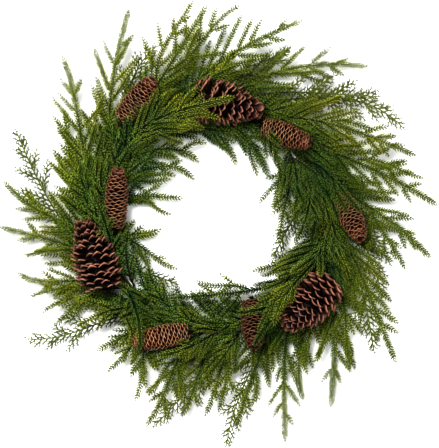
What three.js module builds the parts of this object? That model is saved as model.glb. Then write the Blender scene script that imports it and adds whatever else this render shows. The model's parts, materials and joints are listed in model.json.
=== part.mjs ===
// A round wreath of moulded pine sprays, flat cedar sprays and cones on a wound wire ring.
// It lies on its back: X to its right, Y to its top, Z up from its back to its front.
// Lengths are millimetres. Headings and clock places are degrees clockwise from the top.

import * as THREE from 'three';

// ---- Ring ----
const RING_RADIUS = 152;
const RING_HEIGHT = 9;
const RING_CORNER = 6;
const RING_SIDES = 8;
const RING_STEPS = 36;
const KNOT_PLACES = [60, 180, 300];
const KNOT_WIDE = 7;

// ---- Clearances ----
const CLEAR = 0.4;
const SEAT_GAP = 0.35;
const FLOOR_CLEAR = 2;

// ---- Pine sprays ----
const STEM_ROOT = 2.0;
const STEM_TIP = 1.1;
const TWIG_ROOT = 1.5;
const TWIG_TIP = 1.0;
const TWIG_ANGLE = 38;
const TWIG_SHARE = 0.47;
const TWIG_LONGEST = 50;
const FIRST_TWIG = 38;
const LAST_TWIG = 115;
const WHORL_STEP = 25;
const WHORL_BAND = 2.2;
const TIP_GAP = 4.5;
const NEEDLE_LONG = 8.5;
const NEEDLE_VARY = 0.1;
const NEEDLE_LEAN = 40;
const NEEDLE_ROOT = 1.2;
const BARE_STEM = 55;
const BARE_SHARE = 0.4;
const HEEL = 11;
const RISE = 0.17;
const COLLAR = 4.5;
const FIRST_MARK = COLLAR + 4;
const HANDLE = 0.36;
const LEVELLING = 0.4;
const TWIG_HOOK = 0.25;
const LOWEST_TIP = 9;
const HIGHEST = 106;
const STEM_BENDS = [0, 6, -6, 12, -12, 18, -18, 26, -26, 34, 44];
const TWIG_BENDS = [0, 0.13, -0.13, 0.26, -0.26, 0.4, -0.4, 0.6, 0.8];

// ---- Cedar sprays ----
const FROND_STEP = 17;
const FROND_HALF = 2.0;
const FROND_THICK = 1.1;
const LEAFLET_LONG = 8;
const LEAFLET_VARY = 0.15;
const LEAFLET_LEAN = 42;
const FRONDLET_SHARE = 0.42;
const FRONDLET_LONGEST = 44;
const FRONDLET_ANGLE = 40;
const BARE_FROND = 60;
const FIRST_FRONDLET = 20;
const FRONDLET_ROOT = 0.8;
const FROND_TIP = 0.6;
const FRONDLET_TIP = 0.5;

// ---- Cones ----
const STALK_RISE = 0.5;
const STALK_BEND = 0.4;
const STALK_STEPS = 3;
const CORE_SHARE = 0.5;
const SCALE_ROOT = 0.9;
const LEAST_SPREAD = 0.45;
const ROW_THICK = 0.1;
const LARGE_CONE = {
  sides: 7,
  core: 10,
  stalk: 3,
  reach: [27, 34, 35, 33, 28, 21, 13],
  lean: [96, 84, 74, 66, 56, 44, 28],
  places: [0.07, 0.2, 0.34, 0.48, 0.62, 0.76, 0.88],
  band: 5,
  lipWide: 0.78,
  lipThick: 3.2,
};
const SLIM_CONE = {
  sides: 6,
  core: 7.5,
  stalk: 2.2,
  reach: [13, 16, 17, 16, 14, 10],
  lean: [60, 50, 44, 38, 32, 24],
  places: [0.09, 0.25, 0.41, 0.56, 0.7, 0.84],
  band: 5,
  lipWide: 0.8,
  lipThick: 0,
};

// Each cone's base and tip, and the clock place where its stalk is bound to the ring.
const CONES = [
  { name: 'large_cone_1', form: LARGE_CONE, base: [-152, -94, 54], tip: [-178, -4, 58], foot: 240 },
  { name: 'large_cone_2', form: LARGE_CONE, base: [-28, 170, 52], tip: [64, 152, 56], foot: -20 },
  { name: 'large_cone_3', form: LARGE_CONE, base: [162, -86, 46], tip: [104, -144, 76], foot: 120 },
  { name: 'slim_cone_1', form: SLIM_CONE, base: [-128, 139, 44], tip: [-85, 190, 58], foot: -40 },
  { name: 'slim_cone_2', form: SLIM_CONE, base: [-136, -12, 44], tip: [-131, 66, 60], foot: 260 },
  { name: 'slim_cone_3', form: SLIM_CONE, base: [68, 131, 42], tip: [129, 107, 54], foot: 20 },
  { name: 'slim_cone_4', form: SLIM_CONE, base: [177, 36, 40], tip: [201, -22, 72], foot: 70 },
  { name: 'slim_cone_5', form: SLIM_CONE, base: [-32, -154, 52], tip: [-106, -168, 56], foot: 180 },
  { name: 'slim_cone_6', form: SLIM_CONE, base: [52, -112, 40], tip: [57, -171, 66], foot: 150 },
];

// Where a stem is bound round the ring's section, and which way it then leaves the ring's line.
const OUTER = { seat: 45, turn: -24 };
const UNDER = { seat: 0, turn: -24 };
const FRONT = { seat: 90, turn: -18 };
const INNER = { seat: 135, turn: 26 };
const INSIDE = { seat: 180, turn: 30 };

// Pine sprays: root is the clock place on the ring, in tens. stem is the tip's x and y, its heading
// and a lift. A branch also says how far from the root it leaves the stem.
const PINE_SPRAYS = [
  { bind: OUTER, root: -70, stem: [-117, 290, 16, 0] },
  { bind: OUTER, root: -90, stem: [-208, 225, -22, 0], branches: [[100, -152, 170, 8, 10]] },
  { bind: UNDER, root: -100, stem: [-206, 150, -6, 0], branches: [[60, -222, 92, -45, 0]] },
  {
    bind: OUTER,
    root: -50,
    stem: [-10, 296, 27, 0],
    branches: [[75, -28, 302, 30, 0], [120, 38, 295, 68, 8]],
  },
  { bind: OUTER, root: -30, stem: [122, 275, 69, 0], branches: [[45, 10, 206, 73, 22]] },
  { bind: OUTER, root: -10, stem: [214, 215, 97, 0], branches: [[60, 60, 181, 140, 20]] },
  { bind: OUTER, root: 20, stem: [279, 90, 113, 0], branches: [[70, 220, 126, 103, 8]] },
  { bind: OUTER, root: 40, stem: [309, 22, 121, 0], branches: [[95, 289, 58, 104, 8]] },
  { bind: OUTER, root: 60, stem: [299, -50, 138, 0], branches: [[95, 264, -66, 160, 10]] },
  { bind: OUTER, root: 80, stem: [252, -195, 158, 0] },
  { bind: UNDER, root: 90, stem: [190, -206, 172, 0] },
  { bind: OUTER, root: 100, stem: [164, -259, 187, 0] },
  { bind: OUTER, root: 110, stem: [125, -249, 162, 0], branches: [[70, 131, -200, 155, 12]] },
  { bind: UNDER, root: 130, stem: [100, -306, 179, 0], branches: [[90, 89, -224, 182, 10]] },
  { bind: OUTER, root: 140, stem: [33, -284, 198, 0], branches: [[70, 54, -256, 200, 10]] },
  { bind: OUTER, root: 160, stem: [-10, -271, 204, 0], branches: [[60, 8, -265, 196, 10]] },
  { bind: UNDER, root: 170, stem: [-43, -272, 212, 0] },
  { bind: OUTER, root: 180, stem: [-93, -285, 222, 0], branches: [[70, -88, -242, 222, 12]] },
  { bind: OUTER, root: 200, stem: [-145, -210, 231, 0], branches: [[45, -107, -250, 200, 8]] },
  { bind: UNDER, root: 230, stem: [-221, -147, 228, 0], branches: [[60, -236, -128, 230, 10]] },
  { bind: OUTER, root: 230, stem: [-271, -75, 300, 0], branches: [[75, -254, -107, 240, 10]] },
  { bind: OUTER, root: 240, stem: [-296, -10, 284, 0], branches: [[80, -264, -49, 278, 10]] },
  { bind: UNDER, root: 250, stem: [-290, 53, 322, 0] },
  { bind: FRONT, root: 250, stem: [-168, 42, 342, 44] },
  { bind: FRONT, root: 210, stem: [-185, -146, 235, 30], branches: [[25, -114, -165, 216, 20]] },
  { bind: FRONT, root: 170, stem: [-74, -186, 262, 44], branches: [[40, -97, -196, 218, 20]] },
  { bind: FRONT, root: 90, stem: [84, -140, 184, 40], branches: [[35, 62, -152, 204, 24]] },
  { bind: FRONT, root: -60, stem: [26, 166, 75, 46], branches: [[70, 8, 138, 115, 30]] },
  { bind: INNER, root: -60, stem: [-21, 82, 135, 0], branches: [[40, -11, 107, 120, 6]] },
  { bind: INNER, root: -80, stem: [-28, 58, 143, 0], branches: [[35, -61, 57, 80, 6]] },
  { bind: INSIDE, root: 270, stem: [-44, 31, 92, 0], branches: [[25, -60, 8, 101, 6]] },
  { bind: INSIDE, root: 250, stem: [-74, -13, 68, 0], branches: [[20, -51, -68, 106, 6]] },
  { bind: INNER, root: -20, stem: [31, 79, 164, 0], branches: [[30, 21, 97, 114, 6]] },
  { bind: INNER, root: 0, stem: [76, 63, 158, 0], branches: [[30, 61, 63, 161, 6]] },
  { bind: INNER, root: 40, stem: [92, -29, 182, 0], branches: [[50, 65, 24, 212, 6]] },
  { bind: INSIDE, root: 100, stem: [57, -71, 255, 0] },
  { bind: INNER, root: 110, stem: [-51, -108, 263, 0], branches: [[110, -22, -85, 298, 6]] },
];

// Cedar sprays, as the pine ones.
const CEDAR_SPRAYS = [
  { bind: UNDER, root: -120, stem: [-278, 131, -22, 0], branches: [[100, -275, 42, -63, 0]] },
  { bind: UNDER, root: -60, stem: [-74, 245, 55, 0] },
  { bind: UNDER, root: -20, stem: [108, 242, 43, 0] },
  { bind: UNDER, root: 0, stem: [232, 171, 92, 0] },
  { bind: UNDER, root: 10, stem: [265, 126, 139, 0] },
  { bind: UNDER, root: 60, stem: [249, -64, 143, 0] },
  { bind: UNDER, root: 70, stem: [235, -111, 172, 0] },
  { bind: UNDER, root: 80, stem: [224, -185, 171, 0] },
  { bind: UNDER, root: 140, stem: [18, -317, 188, 0] },
  { bind: UNDER, root: 160, stem: [-83, -288, 225, 0] },
  { bind: UNDER, root: 210, stem: [-263, -164, 281, 0] },
  { bind: INSIDE, root: 60, stem: [84, -55, 200, 0] },
  { bind: INSIDE, root: 230, stem: [-49, -90, 110, 0] },
];

// ---- Colours ----
const pineGreen = new THREE.MeshStandardMaterial({ color: '#47651f', roughness: 0.75, metalness: 0 });
const cedarGreen = new THREE.MeshStandardMaterial({ color: '#4c5f24', roughness: 0.8, metalness: 0 });
const coneBrown = new THREE.MeshStandardMaterial({ color: '#7a4530', roughness: 0.8, metalness: 0 });
const slimBrown = new THREE.MeshStandardMaterial({ color: '#8a5236', roughness: 0.8, metalness: 0 });
const tapeBrown = new THREE.MeshStandardMaterial({ color: '#4a3d24', roughness: 0.9, metalness: 0 });

// ---- Vectors ----
const UP = new THREE.Vector3(0, 0, 1);
const vector = ([x, y, z]) => new THREE.Vector3(x, y, z);
const radians = THREE.MathUtils.degToRad;

function heading(degrees, slope = 0) {
  const angle = radians(degrees);
  return new THREE.Vector3(Math.sin(angle), Math.cos(angle), slope).normalize();
}

// The side and normal that go with a travelling direction: side is to its right, normal is up.
function frame(along, up = UP) {
  const side = along.clone().cross(up).normalize();
  const normal = side.clone().cross(along);
  return { along, side, normal };
}

function around({ side, normal }, degrees) {
  const angle = radians(degrees);
  return side.clone().multiplyScalar(Math.cos(angle)).addScaledVector(normal, Math.sin(angle));
}

// ---- Seeded draws ----
function randomFrom(seed) {
  let state = seed;
  return () => {
    state = (state * 1664525 + 1013904223) % 4294967296;
    return state / 4294967296;
  };
}

// A share round 1, as far to each side as vary says.
function spread(drawn, vary) {
  return 1 + vary * (2 * drawn - 1);
}

// ---- Closed skins ----
// A skin is sewn from loops of corners. Each loop runs the same way round its limb, and each of its
// corners is tied to one corner of the next loop.
class Skin {
  constructor() {
    this.corners = [];
    this.faces = [];
  }

  corner(point) {
    this.corners.push(point.x, point.y, point.z);
    return this.corners.length / 3 - 1;
  }

  loop(points) {
    return points.map((point) => this.corner(point));
  }

  sew(lower, upper, ties) {
    lower.forEach((corner, i) => {
      const next = (i + 1) % lower.length;
      const from = upper[ties[i] % upper.length];
      const to = upper[ties[next] % upper.length];
      this.faces.push(lower[next], corner, from);
      if (to !== from) this.faces.push(to, lower[next], from);
    });
  }

  tube(lower, upper, shift = 0) {
    this.sew(lower, upper, lower.map((_, i) => i + shift));
  }

  point(lower, apex) {
    this.sew(lower, [this.corner(apex)], lower.map(() => 0));
  }

  cap(loop) {
    for (let i = 2; i < loop.length; i += 1) this.faces.push(loop[0], loop[i], loop[i - 1]);
  }

  base(loop) {
    this.cap([...loop].reverse());
  }

  geometry() {
    const geometry = new THREE.BufferGeometry();
    geometry.setAttribute('position', new THREE.Float32BufferAttribute(this.corners, 3));
    geometry.setIndex(this.faces);
    geometry.computeVertexNormals();
    return geometry;
  }
}

// The corners of a round limb's section. A turned section has its corners half a step on.
function section(center, directions, radius, sides, turned) {
  const step = 360 / sides;
  const first = turned ? 0 : step / 2;
  return Array.from({ length: sides }, (_, i) => center.clone()
    .addScaledVector(around(directions, first + i * step), radius));
}

// ---- Room between the pieces ----
function rodGap(a0, a1, b0, b1) {
  const a = a1.clone().sub(a0);
  const b = b1.clone().sub(b0);
  const between = a0.clone().sub(b0);
  const aa = a.dot(a);
  const bb = b.dot(b);
  const ab = a.dot(b);
  const aw = a.dot(between);
  const bw = b.dot(between);
  const spread = aa * bb - ab * ab;
  let s = spread > 1e-9 ? THREE.MathUtils.clamp((ab * bw - bb * aw) / spread, 0, 1) : 0;
  let t = bb > 1e-9 ? (ab * s + bw) / bb : 0;
  if (t < 0 || t > 1) {
    t = THREE.MathUtils.clamp(t, 0, 1);
    s = aa > 1e-9 ? THREE.MathUtils.clamp((ab * t - aw) / aa, 0, 1) : 0;
  }
  return between.addScaledVector(a, s).addScaledVector(b, -t).length();
}

// Everything that is already placed, as rods, so that later pieces are bent or left clear of it.
class Thicket {
  constructor() {
    this.rods = [];
  }

  add(from, to, radius, owner) {
    this.rods.push({ from, to, radius, owner, reach: from.distanceTo(to) / 2 + radius });
  }

  isClear(from, to, radius, ignored) {
    const middle = from.clone().add(to).divideScalar(2);
    const reach = from.distanceTo(to) / 2 + radius + CLEAR;
    return this.rods.every((rod) => {
      if (ignored.includes(rod.owner)) return true;
      const apart = Math.hypot(
        (rod.from.x + rod.to.x) / 2 - middle.x,
        (rod.from.y + rod.to.y) / 2 - middle.y,
        (rod.from.z + rod.to.z) / 2 - middle.z,
      );
      if (apart > rod.reach + reach) return true;
      return rodGap(from, to, rod.from, rod.to) > rod.radius + radius + CLEAR;
    });
  }
}
const thicket = new Thicket();

// Keeps a needle or leaflet, given as rods, where all of it is clear.
function keepIfClear(rods, owner, ignored) {
  const clear = rods.every(([from, to, radius]) => to.z > FLOOR_CLEAR
    && thicket.isClear(from, to, radius, ignored));
  if (clear) rods.forEach(([from, to, radius]) => thicket.add(from, to, radius, owner));
  return clear;
}

// ---- Ring ----
const RING_HALF_STEP = 180 / RING_STEPS;
const RING_FLAT = RING_CORNER * Math.cos(Math.PI / RING_SIDES);

function ringPoint(place, out, height) {
  return heading(place).multiplyScalar(RING_RADIUS + out).setZ(height);
}

function ringMesh() {
  const skin = new Skin();
  const loops = Array.from({ length: RING_STEPS }, (_, i) => {
    const place = (2 * i + 1) * RING_HALF_STEP;
    const center = ringPoint(place, 0, RING_HEIGHT);
    const points = section(center, frame(heading(place + 90)), RING_CORNER, RING_SIDES, false);
    if (KNOT_PLACES.some((knot) => Math.abs(place - knot) < 2 * RING_HALF_STEP)) {
      points.filter((point) => point.z < RING_HEIGHT - RING_CORNER / 2).forEach((point) => {
        const out = Math.sign(Math.hypot(point.x, point.y) - RING_RADIUS);
        point.copy(ringPoint(place, out * KNOT_WIDE / 2, 0));
      });
    }
    return skin.loop(points);
  });
  loops.forEach((loop, i) => skin.tube(loop, loops[(i + 1) % loops.length]));
  return skin.geometry();
}

function fillRing() {
  for (let i = 0; i < RING_STEPS; i += 1) {
    const from = ringPoint((2 * i - 1) * RING_HALF_STEP, 0, RING_HEIGHT);
    const to = ringPoint((2 * i + 1) * RING_HALF_STEP, 0, RING_HEIGHT);
    thicket.add(from, to, RING_CORNER, 'ring');
  }
}

// The middle of a stem that lies along one flat side of the ring, with a small gap. Its corners are
// given as angles and distances from its middle.
function boundPoint(place, seat, corners) {
  const support = Math.max(...corners.map(([angle, reach]) => reach * Math.cos(radians(angle + seat))));
  const distance = RING_FLAT + SEAT_GAP + support;
  const sag = RING_RADIUS * (1 - Math.cos(radians(RING_HALF_STEP)));
  const out = distance * Math.cos(radians(seat)) - sag;
  return ringPoint(place, out, RING_HEIGHT + distance * Math.sin(radians(seat)));
}

// ---- Cones ----
function conePlan({ name, form, base, tip, foot }) {
  const from = vector(base);
  const to = vector(tip);
  const axis = to.clone().sub(from).normalize();
  const footPoint = boundPoint(foot, 90, [[270, form.stalk]]);
  const lean = from.clone().sub(footPoint).setZ(0).normalize().setZ(STALK_RISE).normalize();
  const bend = footPoint.distanceTo(from) * STALK_BEND;
  const stalk = new THREE.CubicBezierCurve3(
    footPoint,
    footPoint.clone().addScaledVector(lean, bend),
    from.clone().addScaledVector(axis, -bend),
    from,
  );
  return { name, form, from, to, axis, stalk };
}

function fillCone({ name, form, from, to, stalk }) {
  form.reach.forEach((reach, i) => {
    const center = from.clone().lerp(to, form.places[i]);
    thicket.add(center, center.clone().addScaledVector(to.clone().sub(from), ROW_THICK), reach, name);
  });
  const points = stalk.getPoints(4);
  points.slice(1).forEach((point, i) => thicket.add(points[i], point, form.stalk, name));
}

function coneMesh({ form, from, to, axis, stalk }) {
  const skin = new Skin();
  const length = from.distanceTo(to);
  const normal = stalk.getTangent(0).cross(axis);
  const up = normal.length() > 0.05 ? normal.normalize() : frame(axis).normal;
  const directions = frame(axis, up);
  let last = null;
  let lastTurned = false;
  for (let i = 0; i <= STALK_STEPS; i += 1) {
    const along = stalk.getTangent(i / STALK_STEPS);
    const center = stalk.getPoint(i / STALK_STEPS);
    const loop = skin.loop(section(center, frame(along, up), form.stalk, form.sides, false));
    if (last) skin.tube(last, loop);
    else skin.base(loop);
    last = loop;
  }
  form.places.forEach((place, row) => {
    const turned = row % 2 === 0;
    const middle = from.clone().lerp(to, place);
    const core = Math.min(form.core, form.reach[row] * CORE_SHARE);
    const sectionAt = (level) => section(
      middle.clone().addScaledVector(axis, level * form.band / 2),
      directions,
      core,
      form.sides,
      turned,
    );
    const lower = skin.loop(sectionAt(-1));
    const upper = skin.loop(sectionAt(1));
    skin.tube(last, lower, lastTurned === turned ? 0 : Number(!lastTurned));
    lower.forEach((corner, i) => {
      const next = (i + 1) % form.sides;
      const facet = [corner, lower[next], upper[next], upper[i]];
      const angle = (i + (turned ? 0.5 : 1)) * 360 / form.sides;
      const outward = around(directions, angle);
      const across = around(directions, angle + 90);
      const lean = radians(form.lean[row]);
      const far = (form.reach[row] - core) / Math.max(Math.sin(lean), LEAST_SPREAD);
      const lip = middle.clone().addScaledVector(outward, core * SCALE_ROOT)
        .addScaledVector(outward, Math.sin(lean) * far)
        .addScaledVector(axis, Math.cos(lean) * far);
      const half = form.reach[row] * Math.sin(Math.PI / form.sides) * form.lipWide;
      const thick = outward.clone().multiplyScalar(-Math.cos(lean))
        .addScaledVector(axis, Math.sin(lean)).multiplyScalar(form.lipThick / 2);
      const edge = (side, level) => lip.clone()
        .addScaledVector(across, side * half)
        .addScaledVector(thick, level);
      if (form.lipThick > 0) {
        const rim = skin.loop([edge(-1, -1), edge(1, -1), edge(1, 1), edge(-1, 1)]);
        skin.tube(facet, rim);
        skin.cap(rim);
      } else {
        skin.sew(facet, skin.loop([edge(-1, 0), edge(1, 0)]), [0, 1, 1, 0]);
      }
    });
    last = upper;
    lastTurned = turned;
  });
  skin.point(last, from.clone().addScaledVector(axis, length));
  return skin.geometry();
}

// ---- Limbs of the sprays ----
// A limb is a curve with stations along it. Distances run from its root to its tip.
class Limb {
  constructor(curve, form, root = {}) {
    this.curve = curve;
    this.form = form;
    this.parent = root.parent;
    this.side = root.side;
    this.heel = root.heel;
    this.length = curve.getLength();
    this.stations = form.stations(this);
    const marks = [0, ...this.stations.map(({ distance }) => distance), this.length];
    const points = marks.map((distance) => this.at(distance));
    this.rods = points.slice(1).map((to, i) => ({ from: points[i], to, radius: this.radius(marks[i]) }));
    if (this.heel) this.rods.unshift({ from: this.heel, to: points[0], radius: this.radius(0) });
  }

  at(distance) {
    return this.curve.getPointAt(THREE.MathUtils.clamp(distance / this.length, 0, 1));
  }

  along(distance) {
    return this.curve.getTangentAt(THREE.MathUtils.clamp(distance / this.length, 0, 1));
  }

  radius(distance) {
    const [atRoot, atTip] = this.heel ? this.form.stem : this.form.twig;
    return THREE.MathUtils.lerp(atRoot, atTip, distance / this.length);
  }

  // Near its root a limb touches what it grows from, and a stem's heel and next rod lie by the ring.
  isClear() {
    const bound = this.heel ? ['ring', 'ring'] : [this.parent];
    return this.rods.every(({ from, to, radius }, i) => to.z > FLOOR_CLEAR + radius
      && to.z < HIGHEST && thicket.isClear(from, to, radius, bound.slice(i, i + 1)));
  }

  settle() {
    this.rods.forEach(({ from, to, radius }) => thicket.add(from, to, radius, this));
    return this;
  }
}

// The first of several bends at which a limb is clear of everything that is placed before it.
function bentClear(bends, makeLimb) {
  for (const bend of bends) {
    const limb = makeLimb(bend);
    if (limb.isClear()) return limb.settle();
  }
  return null;
}

function sweep(from, leaving, to, arriving) {
  const reach = from.distanceTo(to) * HANDLE;
  return new THREE.CubicBezierCurve3(
    from,
    from.clone().addScaledVector(leaving, reach),
    to.clone().addScaledVector(arriving, -reach),
    to,
  );
}

function tipPoint(from, [x, y, , lift], bend) {
  const run = Math.hypot(x - from.x, y - from.y);
  return new THREE.Vector3(x, y, Math.max(from.z + run * RISE + lift + bend, LOWEST_TIP));
}

function growStem(form, { bind, root, stem }) {
  const start = boundPoint(root, bind.seat, form.corners);
  const leaves = start.clone().addScaledVector(heading(root + 90), HEEL);
  return bentClear(STEM_BENDS, (bend) => {
    const tip = tipPoint(leaves, stem, bend);
    const slope = (tip.z - leaves.z) / leaves.distanceTo(tip);
    const leaving = heading(root + 90 + bind.turn, slope);
    const curve = sweep(leaves, leaving, tip, heading(stem[2], slope * LEVELLING));
    return new Limb(curve, form, { heel: start });
  });
}

function attach(child, spot) {
  if (!child) return null;
  if (spot.station.children) spot.station.children[spot.side] = child;
  else spot.station.child = child;
  return child;
}

function growBranch(form, parent, [from, ...goal]) {
  const spot = form.branchSpot(parent, from, goal);
  const branch = bentClear(STEM_BENDS, (bend) => {
    const tip = tipPoint(spot.point, goal, bend);
    const slope = (tip.z - spot.point.z) / spot.point.distanceTo(tip);
    const curve = sweep(spot.point, spot.leaving, tip, heading(goal[2], slope * LEVELLING));
    return new Limb(curve, form, { parent, side: spot.side });
  });
  return attach(branch, spot);
}

function growTwig(form, parent, spot, length) {
  return bentClear(TWIG_BENDS, (bend) => {
    const leaving = spot.leaving.clone().addScaledVector(UP, bend).normalize();
    const arriving = leaving.clone().addScaledVector(spot.along, TWIG_HOOK).normalize();
    const tip = spot.point.clone().addScaledVector(leaving.clone().add(arriving).normalize(), length);
    return new Limb(sweep(spot.point, leaving, tip, arriving), form, { parent, side: spot.side });
  });
}

function nearest(spots, from) {
  const gap = ({ station }) => Math.abs(station.distance - from);
  return spots.sort((a, b) => gap(a) - gap(b))[0];
}

// ---- Pine ----
const PINE = {
  stem: [STEM_ROOT, STEM_TIP],
  twig: [TWIG_ROOT, TWIG_TIP],
  corners: [60, 180, 300].map((angle) => [angle, STEM_ROOT]),
  share: TWIG_SHARE,
  longest: TWIG_LONGEST,
  plant: plantNeedles,
  skin: skinPine,

  // Whorls at even steps back from the tip, each turned half a step on from the last.
  stations(limb) {
    const distances = [];
    for (let mark = limb.length - TIP_GAP; mark > FIRST_MARK; mark -= WHORL_STEP) distances.unshift(mark);
    const bare = limb.heel ? Math.min(BARE_STEM, limb.length * BARE_SHARE) : 0;
    return distances.map((distance, i) => ({
      distance,
      turned: (distances.length - i) % 2 === 0,
      leafy: distance > bare,
    }));
  },

  spot(limb, station) {
    const along = limb.along(station.distance);
    const { side } = frame(along);
    const hand = station.turned ? -1 : 1;
    const inset = limb.radius(station.distance) / 2;
    const leaving = along.clone().multiplyScalar(Math.cos(radians(TWIG_ANGLE)))
      .addScaledVector(side, hand * Math.sin(radians(TWIG_ANGLE)));
    const point = limb.at(station.distance).addScaledVector(side, hand * inset);
    return { along, side: hand, leaving, point, station };
  },

  branchSpot(limb, from, [x, y]) {
    const spots = limb.stations.filter(({ child }) => !child).map((station) => PINE.spot(limb, station))
      .filter(({ point, along, side }) => {
        const right = along.y * (x - point.x) - along.x * (y - point.y);
        return right * side > 0 || limb.stations.length < 3;
      });
    return nearest(spots, from);
  },

  twigSpots(limb) {
    return limb.stations.filter(({ child, distance }) => !child
      && limb.length - distance > FIRST_TWIG && limb.length - distance < LAST_TWIG)
      .map((station) => PINE.spot(limb, station));
  },
};

// A facet's middle, as an angle round the limb, and the facet that a side twig grows from.
const facetAngle = (i, turned) => (i + (turned ? 0.5 : 1)) * 120;
const sideFacet = (turned) => (turned ? 1 : 2);

function plantNeedles(limb, draw) {
  limb.stations.filter(({ leafy }) => leafy).forEach((station) => {
    const directions = frame(limb.along(station.distance));
    const center = limb.at(station.distance);
    const inset = limb.radius(station.distance) / 2;
    station.needles = [0, 1, 2].map((i) => {
      const long = NEEDLE_LONG * spread(draw(), NEEDLE_VARY);
      if (station.child && i === sideFacet(station.turned)) return null;
      const outward = around(directions, facetAngle(i, station.turned));
      const root = center.clone().addScaledVector(outward, inset);
      const apex = root.clone()
        .addScaledVector(directions.along, long * Math.cos(radians(NEEDLE_LEAN)))
        .addScaledVector(outward, long * Math.sin(radians(NEEDLE_LEAN)));
      const half = root.clone().lerp(apex, 0.5);
      const rods = [[root, half, NEEDLE_ROOT], [half, apex, NEEDLE_ROOT / 2]];
      return keepIfClear(rods, limb, [limb, station.child]) ? apex : null;
    });
  });
}

function skinPine(skin, limb, base) {
  const sectionAt = (distance, turned) => skin.loop(section(
    limb.at(distance),
    frame(limb.along(distance)),
    limb.radius(distance),
    3,
    turned,
  ));
  let last;
  let lastTurned;
  const join = (loop, turned) => {
    skin.tube(last, loop, lastTurned === turned || lastTurned ? 0 : 1);
    last = loop;
    lastTurned = turned;
  };
  if (base) {
    lastTurned = limb.side > 0;
    last = sectionAt(COLLAR, lastTurned);
    const back = lastTurned ? 0 : 1;
    skin.sew(base, last, [back, back, back + 1, back + 2]);
  } else {
    lastTurned = false;
    last = skin.loop(section(
      limb.heel,
      frame(limb.at(0).sub(limb.heel).normalize()),
      limb.radius(0),
      3,
      false,
    ));
    skin.base(last);
    join(sectionAt(0, false), false);
  }
  limb.stations.forEach((station) => {
    const { distance, turned, child, needles } = station;
    if (!child && !needles) {
      join(sectionAt(distance, turned), turned);
      return;
    }
    join(sectionAt(distance - WHORL_BAND / 2, turned), turned);
    const lower = last;
    const upper = sectionAt(distance + WHORL_BAND / 2, turned);
    lower.forEach((corner, i) => {
      const next = (i + 1) % 3;
      const facet = [corner, lower[next], upper[next], upper[i]];
      if (child && i === sideFacet(turned)) skinPine(skin, child, facet);
      else if (needles && needles[i]) skin.point(facet, needles[i]);
      else skin.cap(facet);
    });
    last = upper;
  });
  skin.point(last, limb.at(limb.length));
}

// ---- Cedar ----
const CEDAR = {
  stem: [FROND_HALF, FROND_HALF * FROND_TIP],
  twig: [FROND_HALF * FRONDLET_ROOT, FROND_HALF * FRONDLET_TIP],
  corners: [[0, FROND_HALF], [90, FROND_THICK], [180, FROND_HALF], [270, FROND_THICK]],
  share: FRONDLET_SHARE,
  longest: FRONDLET_LONGEST,
  plant: plantLeaflets,
  skin: skinCedar,

  stations(limb) {
    const distances = [];
    for (let mark = limb.length - TIP_GAP; mark > FIRST_MARK; mark -= FROND_STEP) distances.unshift(mark);
    const bare = limb.heel ? Math.min(BARE_FROND, limb.length * BARE_SHARE) : 0;
    return distances.map((distance) => ({ distance, leafy: distance > bare, children: {} }));
  },

  spot(limb, i, hand) {
    const station = limb.stations[i];
    const middle = (station.distance + limb.stations[i + 1].distance) / 2;
    const along = limb.along(middle);
    const { side } = frame(along);
    const leaving = along.clone().multiplyScalar(Math.cos(radians(FRONDLET_ANGLE)))
      .addScaledVector(side, hand * Math.sin(radians(FRONDLET_ANGLE)));
    return { along, side: hand, leaving, point: limb.at(middle), station };
  },

  branchSpot(limb, from, [x, y]) {
    const spots = limb.stations.slice(0, -1).map((_, i) => {
      const { point, along } = CEDAR.spot(limb, i, 1);
      const right = along.y * (x - point.x) - along.x * (y - point.y);
      return CEDAR.spot(limb, i, Math.sign(right));
    });
    return nearest(spots, from);
  },

  twigSpots(limb) {
    return limb.stations.slice(0, -1).map((station, i) => CEDAR.spot(limb, i, i % 2 ? 1 : -1))
      .filter(({ station, side }) => station.leafy && !station.children[side]
        && limb.length - station.distance > FIRST_FRONDLET);
  },
};

// A leaflet on each free side of each leafy step.
function plantLeaflets(limb, draw) {
  limb.stations.slice(0, -1).filter(({ leafy }) => leafy).forEach((station, i, leafy) => {
    const next = limb.stations[limb.stations.indexOf(station) + 1];
    const middle = (station.distance + next.distance) / 2;
    const directions = frame(limb.along(middle));
    station.leaflets = {};
    [-1, 1].filter((hand) => !station.children[hand]).forEach((hand) => {
      const long = LEAFLET_LONG * spread(draw(), LEAFLET_VARY);
      const root = limb.at(middle);
      const apex = root.clone()
        .addScaledVector(directions.along, long * Math.cos(radians(LEAFLET_LEAN)))
        .addScaledVector(directions.side, hand * long * Math.sin(radians(LEAFLET_LEAN)));
      const rods = [station.distance, middle, next.distance]
        .map((distance) => [limb.at(distance), apex, FROND_THICK * 0.8]);
      const ignored = [limb, station.children[-hand], limb.parent];
      if (keepIfClear(rods, limb, ignored)) station.leaflets[hand] = apex;
    });
  });
}

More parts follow.
